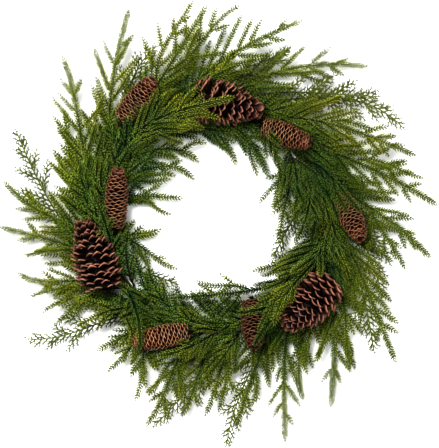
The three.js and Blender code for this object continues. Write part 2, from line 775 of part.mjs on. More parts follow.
function skinCedar(skin, limb, base) {
  const sectionAt = (center, along, half) => {
    const directions = frame(along);
    return skin.loop([0, 1, 2, 3].map((i) => center.clone()
      .addScaledVector(around(directions, i * 90), i % 2 ? FROND_THICK * half / FROND_HALF : half)));
  };
  const loopAt = (distance) => sectionAt(limb.at(distance), limb.along(distance), limb.radius(distance));
  let last;
  if (base) {
    last = loopAt(COLLAR);
    skin.sew(base, last, limb.side > 0 ? [3, 0, 1, 1, 2, 3] : [1, 2, 3, 3, 0, 1]);
  } else {
    const heel = sectionAt(limb.heel, limb.at(0).sub(limb.heel).normalize(), limb.radius(0));
    skin.base(heel);
    last = loopAt(0);
    skin.tube(heel, last);
  }
  const { stations } = limb;
  if (stations.length) {
    const first = loopAt(stations[0].distance);
    skin.tube(last, first);
    last = first;
  }
  stations.slice(0, -1).forEach(({ children, leaflets = {} }, i) => {
    const [right, top, left, bottom] = last;
    const upper = loopAt(stations[i + 1].distance);
    const sides = {
      1: [bottom, right, top, upper[1], upper[0], upper[3]],
      '-1': [top, left, bottom, upper[3], upper[2], upper[1]],
    };
    [1, -1].forEach((hand) => {
      const hole = sides[hand];
      if (children[hand]) skinCedar(skin, children[hand], hole);
      else if (leaflets[hand]) skin.point(hole, leaflets[hand]);
      else {
        skin.cap([hole[0], hole[1], hole[4], hole[5]]);
        skin.cap([hole[1], hole[2], hole[3], hole[4]]);
      }
    });
    last = upper;
  });
  skin.point(last, limb.at(limb.length));
}

// ---- The wreath ----
fillRing();
const cones = CONES.map(conePlan);
cones.forEach(fillCone);

function named(kind, plans, form, material) {
  return plans.map((plan, i) => ({ plan, form, material, name: `${kind}_${i + 1}` }));
}

const sprays = [
  ...named('pine_spray', PINE_SPRAYS, PINE, pineGreen),
  ...named('cedar_spray', CEDAR_SPRAYS, CEDAR, cedarGreen),
];

// Stems first, then the branches, then the side twigs, then what grows on them.
sprays.forEach((spray) => {
  const stem = growStem(spray.form, spray.plan);
  spray.limbs = [stem];
});
sprays.forEach(({ form, plan, limbs }) => {
  (plan.branches || []).forEach((branch) => {
    const limb = growBranch(form, limbs[0], branch);
    if (limb) limbs.push(limb);
  });
});
sprays.forEach(({ form, limbs }) => {
  [...limbs].forEach((limb) => {
    form.twigSpots(limb).forEach((spot) => {
      const length = Math.min(form.share * (limb.length - spot.station.distance), form.longest);
      const twig = attach(growTwig(form, limb, spot, length), spot);
      if (twig) limbs.push(twig);
    });
  });
});
const draw = randomFrom(7);
sprays.forEach(({ form, limbs }) => limbs.forEach((limb) => form.plant(limb, draw)));

const wreath = new THREE.Group();
function addPiece(name, geometry, material) {
  const mesh = new THREE.Mesh(geometry, material);
  mesh.name = name;
  wreath.add(mesh);
}
addPiece('ring_frame', ringMesh(), tapeBrown);
cones.forEach((cone) => {
  addPiece(cone.name, coneMesh(cone), cone.form === LARGE_CONE ? coneBrown : slimBrown);
});
sprays.forEach(({ name, form, material, limbs }) => {
  const skin = new Skin();
  form.skin(skin, limbs[0]);
  addPiece(name, skin.geometry(), material);
});

// The origin is the middle of the wreath's footprint, on the surface that it lies on.
const box = new THREE.Box3().setFromObject(wreath);
const middle = box.getCenter(new THREE.Vector3());
wreath.position.set(-middle.x, -middle.y, -box.min.z);

export default wreath;
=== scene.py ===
"""A pinecone wreath: moulded pine and cedar sprays and cones on a wound wire ring, seen from above.

The limbs grow by the solids' own rule, in millimetres. Clock places and headings are in degrees,
clockwise from the top. Each node gets a finer piece, and short tufts close the gaps.
"""
import json
import math
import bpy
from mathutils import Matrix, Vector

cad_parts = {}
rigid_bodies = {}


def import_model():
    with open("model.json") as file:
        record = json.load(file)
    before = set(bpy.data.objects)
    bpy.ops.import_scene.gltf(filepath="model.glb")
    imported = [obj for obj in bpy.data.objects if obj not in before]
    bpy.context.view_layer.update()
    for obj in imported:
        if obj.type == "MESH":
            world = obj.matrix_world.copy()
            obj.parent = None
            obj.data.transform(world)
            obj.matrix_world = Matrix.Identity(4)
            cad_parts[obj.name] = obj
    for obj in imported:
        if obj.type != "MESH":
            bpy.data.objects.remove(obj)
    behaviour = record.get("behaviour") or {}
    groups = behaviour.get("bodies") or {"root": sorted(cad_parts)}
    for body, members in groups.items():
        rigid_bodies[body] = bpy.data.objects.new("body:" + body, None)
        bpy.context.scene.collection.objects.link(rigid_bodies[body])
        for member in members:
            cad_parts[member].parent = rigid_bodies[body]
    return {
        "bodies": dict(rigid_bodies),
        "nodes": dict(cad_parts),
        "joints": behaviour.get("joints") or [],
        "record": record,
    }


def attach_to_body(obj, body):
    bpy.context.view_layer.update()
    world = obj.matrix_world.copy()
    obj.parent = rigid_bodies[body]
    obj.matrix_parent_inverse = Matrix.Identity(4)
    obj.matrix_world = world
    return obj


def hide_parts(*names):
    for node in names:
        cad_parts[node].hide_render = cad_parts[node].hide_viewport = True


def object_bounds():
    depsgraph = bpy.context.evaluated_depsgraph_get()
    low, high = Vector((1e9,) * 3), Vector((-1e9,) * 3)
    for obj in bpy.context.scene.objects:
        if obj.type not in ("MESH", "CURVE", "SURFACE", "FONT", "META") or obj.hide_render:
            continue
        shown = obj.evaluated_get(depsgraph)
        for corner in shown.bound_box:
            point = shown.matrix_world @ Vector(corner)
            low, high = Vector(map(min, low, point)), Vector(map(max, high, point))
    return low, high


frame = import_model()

from types import SimpleNamespace as Form

import bpy
import numpy as np
from mathutils import Vector

CAD_BOX = [list(corner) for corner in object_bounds()]

# ---- The wreath's plan, in millimetres from the ring's centre, as the solids have it ----
RING_RADIUS = 152.0
RING_HEIGHT = 9.0
RING_CORNER = 6.0
RING_SIDES = 8
RING_STEPS = 36
RING_HALF_STEP = 180.0 / RING_STEPS
RING_FLAT = RING_CORNER * math.cos(math.pi / RING_SIDES)
KNOT_PLACES = (60, 180, 300)
KNOT_WIDE = 7.0

# The gaps that limbs keep from each other and that a stem keeps from the ring.
CLEAR = 0.4
SEAT_GAP = 0.35
FLOOR_CLEAR = 2.0
LOWEST_TIP = 9.0
HIGHEST = 106.0

# How far a stem runs along the ring, how steeply limbs rise, and what is left of that at their tips.
HEEL = 11.0
RISE = 0.17
RISE_AT_TIP = 0.4
TWIG_HOOK = 0.25

# The solids' whorls stand at marks, off a limb's root and its tip. This share of a stem is bare.
FIRST_MARK = 8.5
TIP_GAP = 4.5
BARE_SHARE = 0.4

# The lifts that are tried, in this order, to bend a limb clear of the others.
STEM_BENDS = (0, 6, -6, 12, -12, 18, -18, 26, -26, 34, 44)
TWIG_BENDS = (0, 0.13, -0.13, 0.26, -0.26, 0.4, -0.4, 0.6, 0.8)

PINE = Form(
    kind="pine", stem=(2.0, 1.1), twig=(1.5, 1.0), corners=((60, 2.0), (180, 2.0), (300, 2.0)),
    angle=38.0, share=0.47, longest=50.0, step=25.0, bare=55.0, first_twig=38.0, last_twig=115.0,
)
CEDAR = Form(
    kind="cedar", stem=(2.0, 1.2), twig=(1.6, 1.0),
    corners=((0, 2.0), (90, 1.1), (180, 2.0), (270, 1.1)),
    angle=40.0, share=0.42, longest=44.0, step=17.0, bare=60.0, first_twig=20.0, last_twig=999.0,
)


# ---- Directions and curves ----
UP = np.array((0.0, 0.0, 1.0))
SWEEP_STEPS = 201
SWEEP_PULL = 0.36


def unit(vector):
    return vector / math.sqrt(float(vector @ vector))


def normalized(vectors):
    return vectors / np.linalg.norm(vectors, axis=-1, keepdims=True)


def heading(degrees, slope=0.0):
    """The direction of a clock place, rising by a slope."""
    angle = math.radians(degrees)
    return unit(np.array((math.sin(angle), math.cos(angle), slope)))


def frame_of(along):
    """The directions to the right of a limb and out of its upper side."""
    side = unit(np.cross(along, UP))
    return side, np.cross(side, along)


def from_middle(point):
    return math.hypot(point[0], point[1])


def linear(span, share):
    """A span's first number, and as much of its second as the share says."""
    return span[0] + span[1] * share


class Sweep:
    """A cubic curve that is read by the distance along it."""

    def __init__(self, *points):
        self.points = np.array(points)
        self.steps = np.linspace(0, 1, SWEEP_STEPS)
        gaps = np.linalg.norm(np.diff(self.spots(self.steps), axis=0), axis=1)
        self.marks = np.concatenate(((0.0,), np.cumsum(gaps)))
        self.length = float(self.marks[-1])

    @classmethod
    def between(cls, start, leaving, end, arriving):
        """A curve that leaves its start and arrives at its end in the given directions."""
        reach = np.linalg.norm(end - start) * SWEEP_PULL
        return cls(start, start + leaving * reach, end - arriving * reach, end)

    def spots(self, t):
        t = np.asarray(t)[..., None]
        a, b, c, d = self.points
        return a * (1 - t) ** 3 + 3 * b * t * (1 - t) ** 2 + 3 * c * t * t * (1 - t) + d * t ** 3

    def slopes(self, t):
        t = np.asarray(t)[..., None]
        a, b, c, d = self.points
        raw = 3 * (b - a) * (1 - t) ** 2 + 6 * (c - b) * t * (1 - t) + 3 * (d - c) * t * t
        return normalized(raw)

    def at(self, distance):
        return self.spots(np.interp(distance, self.marks, self.steps))

    def along(self, distance):
        return self.slopes(np.interp(distance, self.marks, self.steps))


# ---- The thicket of all that is placed ----
TINY = 1e-9
THICKET_ROOM = 9000
NOBODY = 0
RING_OWNER = 1
FIRST_CONE = 2
LAST_CONE = 10


def rod_gaps(a0, a1, b0, b1):
    """The least distance from one rod to each of many."""
    a = a1 - a0
    b = b1 - b0
    between = a0 - b0
    aa = a @ a
    bb = np.einsum("ij,ij->i", b, b)
    ab = b @ a
    aw = between @ a
    bw = np.einsum("ij,ij->i", b, between)
    spread = aa * bb - ab * ab
    safe = np.where(spread > TINY, spread, 1.0)
    s = np.where(spread > TINY, np.clip((ab * bw - bb * aw) / safe, 0, 1), 0.0)
    t = np.where(bb > TINY, (ab * s + bw) / np.where(bb > TINY, bb, 1.0), 0.0)
    held = np.clip(t, 0, 1)
    moved = np.clip((ab * held - aw) / aa, 0, 1) if aa > TINY else np.zeros_like(s)
    s = np.where((t < 0) | (t > 1), moved, s)
    gap = between + a * s[:, None] - b * held[:, None]
    return np.linalg.norm(gap, axis=1)


class Thicket:
    """Everything that is placed, as rods, so that a later limb is bent clear of it."""

    def __init__(self):
        self.rods = np.zeros((THICKET_ROOM, 8))
        self.count = 0

    def add(self, start, end, radius, owner):
        self.rods[self.count] = (*start, *end, radius, owner)
        self.count += 1

    def is_clear(self, start, end, radius, ignored):
        rods = self.rods[:self.count]
        gaps = rod_gaps(start, end, rods[:, :3], rods[:, 3:6])
        return bool(np.all((gaps > rods[:, 6] + radius + CLEAR) | (rods[:, 7] == ignored)))


thicket = Thicket()


# ---- Limbs ----
def ring_point(place, out, height):
    point = heading(place) * (RING_RADIUS + out)
    return np.array((point[0], point[1], height))


def bound_point(place, seat, corners):
    """Where a limb with these corners lies against the ring, at an angle round the ring's section."""
    support = max(reach * math.cos(math.radians(angle + seat)) for angle, reach in corners)
    distance = RING_FLAT + SEAT_GAP + support
    sag = RING_RADIUS * (1 - math.cos(math.radians(RING_HALF_STEP)))
    out = distance * math.cos(math.radians(seat)) - sag
    return ring_point(place, out, RING_HEIGHT + distance * math.sin(math.radians(seat)))


def stem_root(form, place, seat):
    """A stem's heel on the ring, and the point where it leaves the ring's line."""
    heel = bound_point(place, seat, form.corners)
    return heel, heel + heading(place + 90) * HEEL


class Limb:
    """A stem, branch or side twig. Distances run from its root to its tip."""

    made = LAST_CONE

    def __init__(self, curve, form, parent=None, side=1, heel=None):
        Limb.made += 1
        self.number = Limb.made
        self.curve = curve
        self.form = form
        self.parent = parent
        self.side = side
        self.heel = heel
        self.is_stem = heel is not None
        self.length = curve.length
        self.twigs = []
        self.taken = set()
        self.marks = []
        mark = self.length - TIP_GAP
        while mark > FIRST_MARK:
            self.marks.insert(0, mark)
            mark -= form.step
        bare = min(form.bare, self.length * BARE_SHARE) if self.is_stem else 0.0
        self.leafy = [mark > bare for mark in self.marks]
        stops = [0.0, *self.marks, self.length]
        points = list(curve.at(stops))
        self.rods = [(points[i], points[i + 1], self.radius(stops[i])) for i in range(len(stops) - 1)]
        if self.is_stem:
            self.rods.insert(0, (heel, points[0], self.radius(0)))

    def radius(self, distance):
        at_root, at_tip = self.form.stem if self.is_stem else self.form.twig
        return at_root + (at_tip - at_root) * distance / self.length

    def is_clear(self):
        bound = (RING_OWNER, RING_OWNER) if self.is_stem else (self.parent.number,)
        for i, (start, end, radius) in enumerate(self.rods):
            if end[2] <= FLOOR_CLEAR + radius or end[2] >= HIGHEST:
                return False
            if not thicket.is_clear(start, end, radius, bound[i] if i < len(bound) else NOBODY):
                return False
        return True

    def settle(self):
        for start, end, radius in self.rods:
            thicket.add(start, end, radius, self.number)
        return self

    def spot(self, i):
        """Where a side twig leaves mark i, and which way."""
        if self.form.kind == "cedar":
            return self.spot_at(i, (self.marks[i] + self.marks[i + 1]) / 2, 1 if i % 2 else -1)
        return self.spot_at(i, self.marks[i], 1 if (len(self.marks) - i) % 2 else -1)

    def spot_at(self, i, distance, hand):
        along = self.curve.along(distance)
        side, _ = frame_of(along)
        turn = math.radians(self.form.angle)
        inset = self.radius(distance) / 2 if self.form.kind == "pine" else 0.0
        return {
            "along": along, "side": hand, "mark": i, "distance": self.marks[i],
            "leaving": along * math.cos(turn) + side * hand * math.sin(turn),
            "point": self.curve.at(distance) + side * hand * inset,
        }


def bent_clear(bends, make_limb):
    """The first limb that is clear of the thicket, which it then joins."""
    for bend in bends:
        limb = make_limb(bend)
        if limb.is_clear():
            return limb.settle()
    return None


def tip_of(start, goal, bend):
    """A limb's tip, its slope up to there and its direction as it arrives."""
    x, y, heads, lift = goal
    run = math.hypot(x - start[0], y - start[1])
    tip = np.array((x, y, max(start[2] + run * RISE + lift + bend, LOWEST_TIP)))
    slope = (tip[2] - start[2]) / np.linalg.norm(tip - start)
    return tip, slope, heading(heads, slope * RISE_AT_TIP)


def grow_stem(form, bind, place, goal):
    """A spray's stem, bound at a clock place of the ring."""
    seat, turn = bind
    heel, root = stem_root(form, place, seat)

    def make(bend):
        tip, slope, arriving = tip_of(root, goal, bend)
        curve = Sweep.between(root, heading(place + 90 + turn, slope), tip, arriving)
        return Limb(curve, form, heel=heel)
    return bent_clear(STEM_BENDS, make)


def right_of(spot, goal):
    """Above 0 where the goal lies to the right of a limb at one of its spots."""
    point, along = spot["point"], spot["along"]
    return along[1] * (goal[0] - point[0]) - along[0] * (goal[1] - point[1])


def branch_spot(limb, start, goal):
    """The free spot nearest to a distance along the limb, on the goal's side of it."""
    spots = []
    if limb.form.kind == "pine":
        for i in range(len(limb.marks)):
            spot = limb.spot(i)
            fits_hand = right_of(spot, goal) * spot["side"] > 0
            if i not in limb.taken and (fits_hand or len(limb.marks) < 3):
                spots.append(spot)
    else:
        for i in range(len(limb.marks) - 1):
            middle = (limb.marks[i] + limb.marks[i + 1]) / 2
            hand = 1 if right_of(limb.spot_at(i, middle, 1), goal) > 0 else -1
            spots.append(limb.spot_at(i, middle, hand))
    return min(spots, key=lambda spot: abs(spot["distance"] - start))


def attach(child, parent, spot):
    if child is not None:
        is_pine = parent.form.kind == "pine"
        parent.taken.add(spot["mark"] if is_pine else (spot["mark"], spot["side"]))
        parent.twigs.append(child)
    return child


def grow_branch(form, parent, branch):
    """A branch that leaves its parent near a given distance and ends at a given tip."""
    start, *goal = branch
    spot = branch_spot(parent, start, goal)

    def make(bend):
        tip, _, arriving = tip_of(spot["point"], goal, bend)
        curve = Sweep.between(spot["point"], spot["leaving"], tip, arriving)
        return Limb(curve, form, parent=parent, side=spot["side"])
    return attach(bent_clear(STEM_BENDS, make), parent, spot)


def twig_curve(spot, length, bend):
    """A side twig's curve, which hooks a little towards its parent's tip."""
    leaving = unit(spot["leaving"] + UP * bend)
    arriving = unit(leaving + spot["along"] * TWIG_HOOK)
    tip = spot["point"] + unit(leaving + arriving) * length
    return Sweep.between(spot["point"], leaving, tip, arriving)


def grow_twig(form, parent, spot, length):
    def make(bend):
        return Limb(twig_curve(spot, length, bend), form, parent=parent, side=spot["side"])
    return attach(bent_clear(TWIG_BENDS, make), parent, spot)


def twig_spots(limb):
    """The free marks of a limb that carry side twigs."""
    form = limb.form
    if form.kind == "pine":
        return [limb.spot(i) for i, mark in enumerate(limb.marks)
                if i not in limb.taken and form.first_twig < limb.length - mark < form.last_twig]
    spots = [limb.spot(i) for i in range(len(limb.marks) - 1)
             if limb.leafy[i] and limb.length - limb.marks[i] > form.first_twig]
    return [spot for spot in spots if (spot["mark"], spot["side"]) not in limb.taken]


# ---- The cones: base and tip, and the clock place where the stalk is bound to the ring ----
STALK_BEND = 0.4
STALK_RISE = 0.5
# Each cone stands in the thicket as short rods, this long for its length, and its stalk as a few more.
CONE_ROD = 0.1
STALK_RODS = 4

# How far the scales reach and how they lean, in degrees, at places along the cone. swell is how thick a
# scale is in each row from its root to its lip.
LARGE_CONE = Form(
    slot="large_cone_wood", core=10.0, stalk=3.0, scales=144, wide=15.5, thick=2.2, cup=0.4, rows=6,
    beak=1.5, stray=8.0, swell=(0.3, 0.3, 0.34, 0.5, 1.1, 0.8),
    places=(0.07, 0.2, 0.34, 0.48, 0.62, 0.76, 0.88, 0.97),
    reach=(27.0, 34.0, 35.0, 33.0, 28.0, 21.0, 13.0, 7.0),
    lean=(104.0, 96.0, 90.0, 84.0, 74.0, 60.0, 38.0, 30.0),
)
SLIM_CONE = Form(
    slot="slim_cone_wood", core=7.5, stalk=2.2, scales=210, wide=13.0, thick=0.8, cup=0.3, rows=4,
    beak=0.5, stray=3.0, swell=(0.7, 0.8, 1.0, 0.8),
    places=(0.09, 0.25, 0.41, 0.56, 0.7, 0.84, 0.97),
    reach=(13.0, 16.0, 17.0, 16.5, 15.0, 11.5, 6.0),
    lean=(98.0, 92.0, 86.0, 78.0, 64.0, 42.0, 28.0),
)
CONES = (
    ("large_cone_1", LARGE_CONE, (-152, -94, 54), (-178, -4, 58), 240),
    ("large_cone_2", LARGE_CONE, (-28, 170, 52), (64, 152, 56), -20),
    ("large_cone_3", LARGE_CONE, (162, -86, 46), (104, -144, 76), 120),
    ("slim_cone_1", SLIM_CONE, (-128, 139, 44), (-85, 190, 58), -40),
    ("slim_cone_2", SLIM_CONE, (-136, -12, 44), (-131, 66, 60), 260),
    ("slim_cone_3", SLIM_CONE, (68, 131, 42), (129, 107, 54), 20),
    ("slim_cone_4", SLIM_CONE, (177, 36, 40), (201, -22, 72), 70),
    ("slim_cone_5", SLIM_CONE, (-32, -154, 52), (-106, -168, 56), 180),
    ("slim_cone_6", SLIM_CONE, (52, -112, 40), (57, -171, 66), 150),
)
# How pale a cone is, from 0 to 1. slim_cone_6 is darkest, partly its own darker red and partly a painted
# shade where it lies among the sprays.
CONE_SHADES = {"slim_cone_5": 1.0, "slim_cone_6": 0.0}
CONE_SHADE = 0.45

# ---- The sprays ----
# Where a stem is bound round the ring's section, and which way it then leaves the ring's line.
OUTER = (45, -24)
UNDER = (0, -24)
FRONT = (90, -18)
INNER = (135, 26)
INSIDE = (180, 30)

# A spray: bind, clock place of its root, the stem's tip (x, y, heading, lift) and its branches
# (distance from the root, x, y, heading, lift).
PINE_SPRAYS = (
    (OUTER, -70, (-117, 290, 16, 0)),
    (OUTER, -90, (-208, 225, -22, 0), (100, -152, 170, 8, 10)),
    (UNDER, -100, (-206, 150, -6, 0), (60, -222, 92, -45, 0)),
    (OUTER, -50, (-10, 296, 27, 0), (75, -28, 302, 30, 0), (120, 38, 295, 68, 8)),
    (OUTER, -30, (122, 275, 69, 0), (45, 10, 206, 73, 22)),
    (OUTER, -10, (214, 215, 97, 0), (60, 60, 181, 140, 20)),
    (OUTER, 20, (279, 90, 113, 0), (70, 220, 126, 103, 8)),
    (OUTER, 40, (309, 22, 121, 0), (95, 289, 58, 104, 8)),
    (OUTER, 60, (299, -50, 138, 0), (95, 264, -66, 160, 10)),
    (OUTER, 80, (252, -195, 158, 0)),
    (UNDER, 90, (190, -206, 172, 0)),
    (OUTER, 100, (164, -259, 187, 0)),
    (OUTER, 110, (125, -249, 162, 0), (70, 131, -200, 155, 12)),
    (UNDER, 130, (100, -306, 179, 0), (90, 89, -224, 182, 10)),
    (OUTER, 140, (33, -284, 198, 0), (70, 54, -256, 200, 10)),
    (OUTER, 160, (-10, -271, 204, 0), (60, 8, -265, 196, 10)),
    (UNDER, 170, (-43, -272, 212, 0)),
    (OUTER, 180, (-93, -285, 222, 0), (70, -88, -242, 222, 12)),
    (OUTER, 200, (-145, -210, 231, 0), (45, -107, -250, 200, 8)),
    (UNDER, 230, (-221, -147, 228, 0), (60, -236, -128, 230, 10)),
    (OUTER, 230, (-271, -75, 300, 0), (75, -254, -107, 240, 10)),
    (OUTER, 240, (-296, -10, 284, 0), (80, -264, -49, 278, 10)),
    (UNDER, 250, (-290, 53, 322, 0)),
    (FRONT, 250, (-168, 42, 342, 44)),
    (FRONT, 210, (-185, -146, 235, 30), (25, -114, -165, 216, 20)),
    (FRONT, 170, (-74, -186, 262, 44), (40, -97, -196, 218, 20)),
    (FRONT, 90, (84, -140, 184, 40), (35, 62, -152, 204, 24)),
    (FRONT, -60, (26, 166, 75, 46), (70, 8, 138, 115, 30)),
    (INNER, -60, (-21, 82, 135, 0), (40, -11, 107, 120, 6)),
    (INNER, -80, (-28, 58, 143, 0), (35, -61, 57, 80, 6)),
    (INSIDE, 270, (-44, 31, 92, 0), (25, -60, 8, 101, 6)),
    (INSIDE, 250, (-74, -13, 68, 0), (20, -51, -68, 106, 6)),
    (INNER, -20, (31, 79, 164, 0), (30, 21, 97, 114, 6)),
    (INNER, 0, (76, 63, 158, 0), (30, 61, 63, 161, 6)),
    (INNER, 40, (92, -29, 182, 0), (50, 65, 24, 212, 6)),
    (INSIDE, 100, (57, -71, 255, 0)),
    (INNER, 110, (-51, -108, 263, 0), (110, -22, -85, 298, 6)),
)
CEDAR_SPRAYS = (
    (UNDER, -120, (-278, 131, -22, 0), (100, -275, 42, -63, 0)),
    (UNDER, -60, (-74, 245, 55, 0)),
    (UNDER, -20, (108, 242, 43, 0)),
    (UNDER, 0, (232, 171, 92, 0)),
    (UNDER, 10, (265, 126, 139, 0)),
    (UNDER, 60, (249, -64, 143, 0)),
    (UNDER, 70, (235, -111, 172, 0)),
    (UNDER, 80, (224, -185, 171, 0)),
    (UNDER, 140, (18, -317, 188, 0)),
    (UNDER, 160, (-83, -288, 225, 0)),
    (UNDER, 210, (-263, -164, 281, 0)),
    (INSIDE, 60, (84, -55, 200, 0)),
    (INSIDE, 230, (-49, -90, 110, 0)),
)


# ---- The wreath's growth, by the same rule as its solids ----
def fill_ring():
    for i in range(RING_STEPS):
        start = ring_point((2 * i - 1) * RING_HALF_STEP, 0, RING_HEIGHT)
        end = ring_point((2 * i + 1) * RING_HALF_STEP, 0, RING_HEIGHT)
        thicket.add(start, end, RING_CORNER, RING_OWNER)


class Cone:
    """Where a cone lies, and the stalk that carries it."""

    def __init__(self, number, name, form, base, tip, foot):
        self.name = name
        self.form = form
        self.base = np.array(base, dtype=float)
        self.line = np.array(tip, dtype=float) - self.base
        self.length = float(np.linalg.norm(self.line))
        self.axis = self.line / self.length
        start = bound_point(foot, 90, ((270, form.stalk),))
        lean = self.base - start
        lean[2] = 0
        lean = unit(lean)
        lean[2] = STALK_RISE
        bend = np.linalg.norm(start - self.base) * STALK_BEND
        self.stalk = Sweep(start, start + unit(lean) * bend, self.base - self.axis * bend, self.base)
        for place, reach in zip(form.places, form.reach):
            center = self.base + self.line * place
            thicket.add(center, center + self.line * CONE_ROD, reach, number)
        points = self.stalk.spots(np.linspace(0, 1, STALK_RODS + 1))
        for start, end in zip(points, points[1:]):
            thicket.add(start, end, form.stalk, number)


class Spray:
    """One moulded spray: its stem first, then its branches and side twigs."""

    def __init__(self, name, form, plan):
        bind, place, goal, *branches = plan
        self.name = name
        self.form = form
        self.hue = None
        self.branches = branches
        self.limbs = [grow_stem(form, bind, place, goal)]

    def grow_branches(self):
        for branch in self.branches:
            limb = grow_branch(self.form, self.limbs[0], branch)
            if limb:
                self.limbs.append(limb)

    def grow_twigs(self):
        for limb in list(self.limbs):
            for spot in twig_spots(limb):
                length = min(self.form.share * (limb.length - spot["distance"]), self.form.longest)
                twig = grow_twig(self.form, limb, spot, length)
                if twig:
                    self.limbs.append(twig)


def grow_wreath():
    """The cones and sprays of the solids: all stems grow first, then the branches, then the twigs."""
    fill_ring()
    cones = [Cone(FIRST_CONE + i, *plan) for i, plan in enumerate(CONES)]
    sprays = [Spray(f"pine_spray_{i + 1}", PINE, plan) for i, plan in enumerate(PINE_SPRAYS)]
    sprays += [Spray(f"cedar_spray_{i + 1}", CEDAR, plan) for i, plan in enumerate(CEDAR_SPRAYS)]
    for spray in sprays:
        spray.grow_branches()
    for spray in sprays:
        spray.grow_twigs()
    return cones, sprays


# ---- Mesh building ----
MM = 0.001
# From the ring's centre to the solids' own origin, and half of the solids' box.
SHIFT = np.array((-6.513, 5.516, 0.0))
HALF_BOX = np.array(CAD_BOX[1][:2]) / MM


class Mesh:
    """A growing mesh with named numbers on its corners."""

    NUMBERS = ("young", "along", "tone")

    def __init__(self):
        self.corners = []
        self.quads = []
        self.triangles = []
        self.paints = []
        self.numbers = {name: [] for name in self.NUMBERS}
        self.count = 0

    def add(self, corners, quads, triangles, paint, **numbers):
        """Adds many like shapes. corners is (shapes, corners each, 3), the faces are of one shape."""
        shapes, each = corners.shape[:2]
        starts = self.count + np.arange(shapes)[:, None, None] * each
        quads = np.asarray(quads, dtype=int).reshape(1, -1, 4) + starts
        triangles = np.asarray(triangles, dtype=int).reshape(1, -1, 3) + starts
        self.corners.append(corners.reshape(-1, 3))
        self.quads.append(quads.reshape(-1, 4))
        self.triangles.append(triangles.reshape(-1, 3))
        self.paints.append((paint, quads.shape[1] * shapes, triangles.shape[1] * shapes))
        for name in self.NUMBERS:
            values = np.asarray(numbers.get(name, 0.0), dtype=float)
            values = values[:, None] if values.ndim == 1 else values
            self.numbers[name].append(np.broadcast_to(values, (shapes, each)).reshape(-1))
        self.count += shapes * each

    def object(self, name, materials):
        """The mesh as an object in the scene, in metres."""
        quads = np.concatenate(self.quads)
        triangles = np.concatenate(self.triangles)
        loops = np.concatenate((quads.ravel(), triangles.ravel()))
        fours = np.arange(len(quads)) * 4
        threes = len(quads) * 4 + np.arange(len(triangles)) * 3
        starts = np.concatenate((fours, threes))
        paints = [np.full(quads, paint) for paint, quads, _ in self.paints]
        paints += [np.full(triangles, paint) for paint, _, triangles in self.paints]
        mesh = bpy.data.meshes.new(name)
        mesh.vertices.add(self.count)
        corners = (np.concatenate(self.corners) + SHIFT) * MM
        mesh.vertices.foreach_set("co", corners.astype(np.float32).ravel())
        mesh.loops.add(len(loops))
        mesh.loops.foreach_set("vertex_index", loops.astype(np.int32))
        mesh.polygons.add(len(starts))
        mesh.polygons.foreach_set("loop_start", starts.astype(np.int32))
        mesh.polygons.foreach_set("material_index", np.concatenate(paints).astype(np.int32))
        mesh.polygons.foreach_set("use_smooth", np.ones(len(starts), dtype=bool))
        for key, values in self.numbers.items():
            layer = mesh.attributes.new(key, "FLOAT", "POINT")
            layer.data.foreach_set("value", np.concatenate(values).astype(np.float32))
        mesh.update(calc_edges=True)
        for material in materials:
            mesh.materials.append(material)
        piece = bpy.data.objects.new(name, mesh)
        bpy.context.collection.objects.link(piece)
        return piece


def frames_of(along):
    """As frame_of, for many directions."""
    side = normalized(np.cross(along, UP))
    return side, np.cross(side, along)


def turned(first, second, angles):
    """Directions that are turned by angles from the first ones towards the second ones."""
    return first * np.cos(angles)[:, None] + second * np.sin(angles)[:, None]


def grid(rows, columns, rows_close=False, columns_close=False):
    """The quads of a grid of corners, which may close on itself."""
    quads = []
    for r in range(rows if rows_close else rows - 1):
        row, upper = r * columns, (r + 1) % rows * columns
        for c in range(columns if columns_close else columns - 1):
            after = (c + 1) % columns
            quads.append((row + c, row + after, upper + after, upper + c))
    return quads


def tube_faces(rows, sides):
    """A tube's faces, capped at its first row and drawn to a point after its last."""
    end = (rows - 1) * sides
    triangles = [(end + k, end + (k + 1) % sides, rows * sides) for k in range(sides)]
    triangles += [(0, k + 1, k) for k in range(1, sides - 1)]
    return grid(rows, sides, columns_close=True), triangles


def tube(mesh, points, slopes, radii, sides, paint, flat=1.0, **numbers):
    """A smooth limb through points, closed at its root and pointed at its last point."""
    side, normal = frames_of(slopes)
    turns = np.arange(sides) * math.tau / sides
    across, up = np.cos(turns)[None, :, None], (np.sin(turns) * flat)[None, :, None]
    ring = side[:-1, None] * across + normal[:-1, None] * up
    corners = points[:-1, None] + ring * radii[:-1, None, None]
    corners = np.concatenate((corners.reshape(-1, 3), points[-1:]))
    each = {}
    for name, values in numbers.items():
        values = np.broadcast_to(np.asarray(values, dtype=float), (len(points),))
        each[name] = np.concatenate((np.repeat(values[:-1], sides), values[-1:]))[None]
    quads, triangles = tube_faces(len(points) - 1, sides)
    mesh.add(corners[None], quads, triangles, paint, **each)


# ---- Sprays ----
BARK = 0
LEAF = 1
STEM_STEP = 7.0

# New growth is the last part of a limb. What stands in the open at either edge and what lies on top
# is painted paler, as lit, in the colours of new growth: where each starts, in how far it is full, and
# how much it counts.
NEW_GROWTH = 70.0
NEW_COUNTS = 0.6
OUTER_START, OUTER_FULL, OUTER_COUNTS = 178, 75, 0.85
INNER_START, INNER_FULL, INNER_COUNTS = 116, 45, 0.7
TOP_START, TOP_FULL, TOP_COUNTS = 45, 45, 0.4


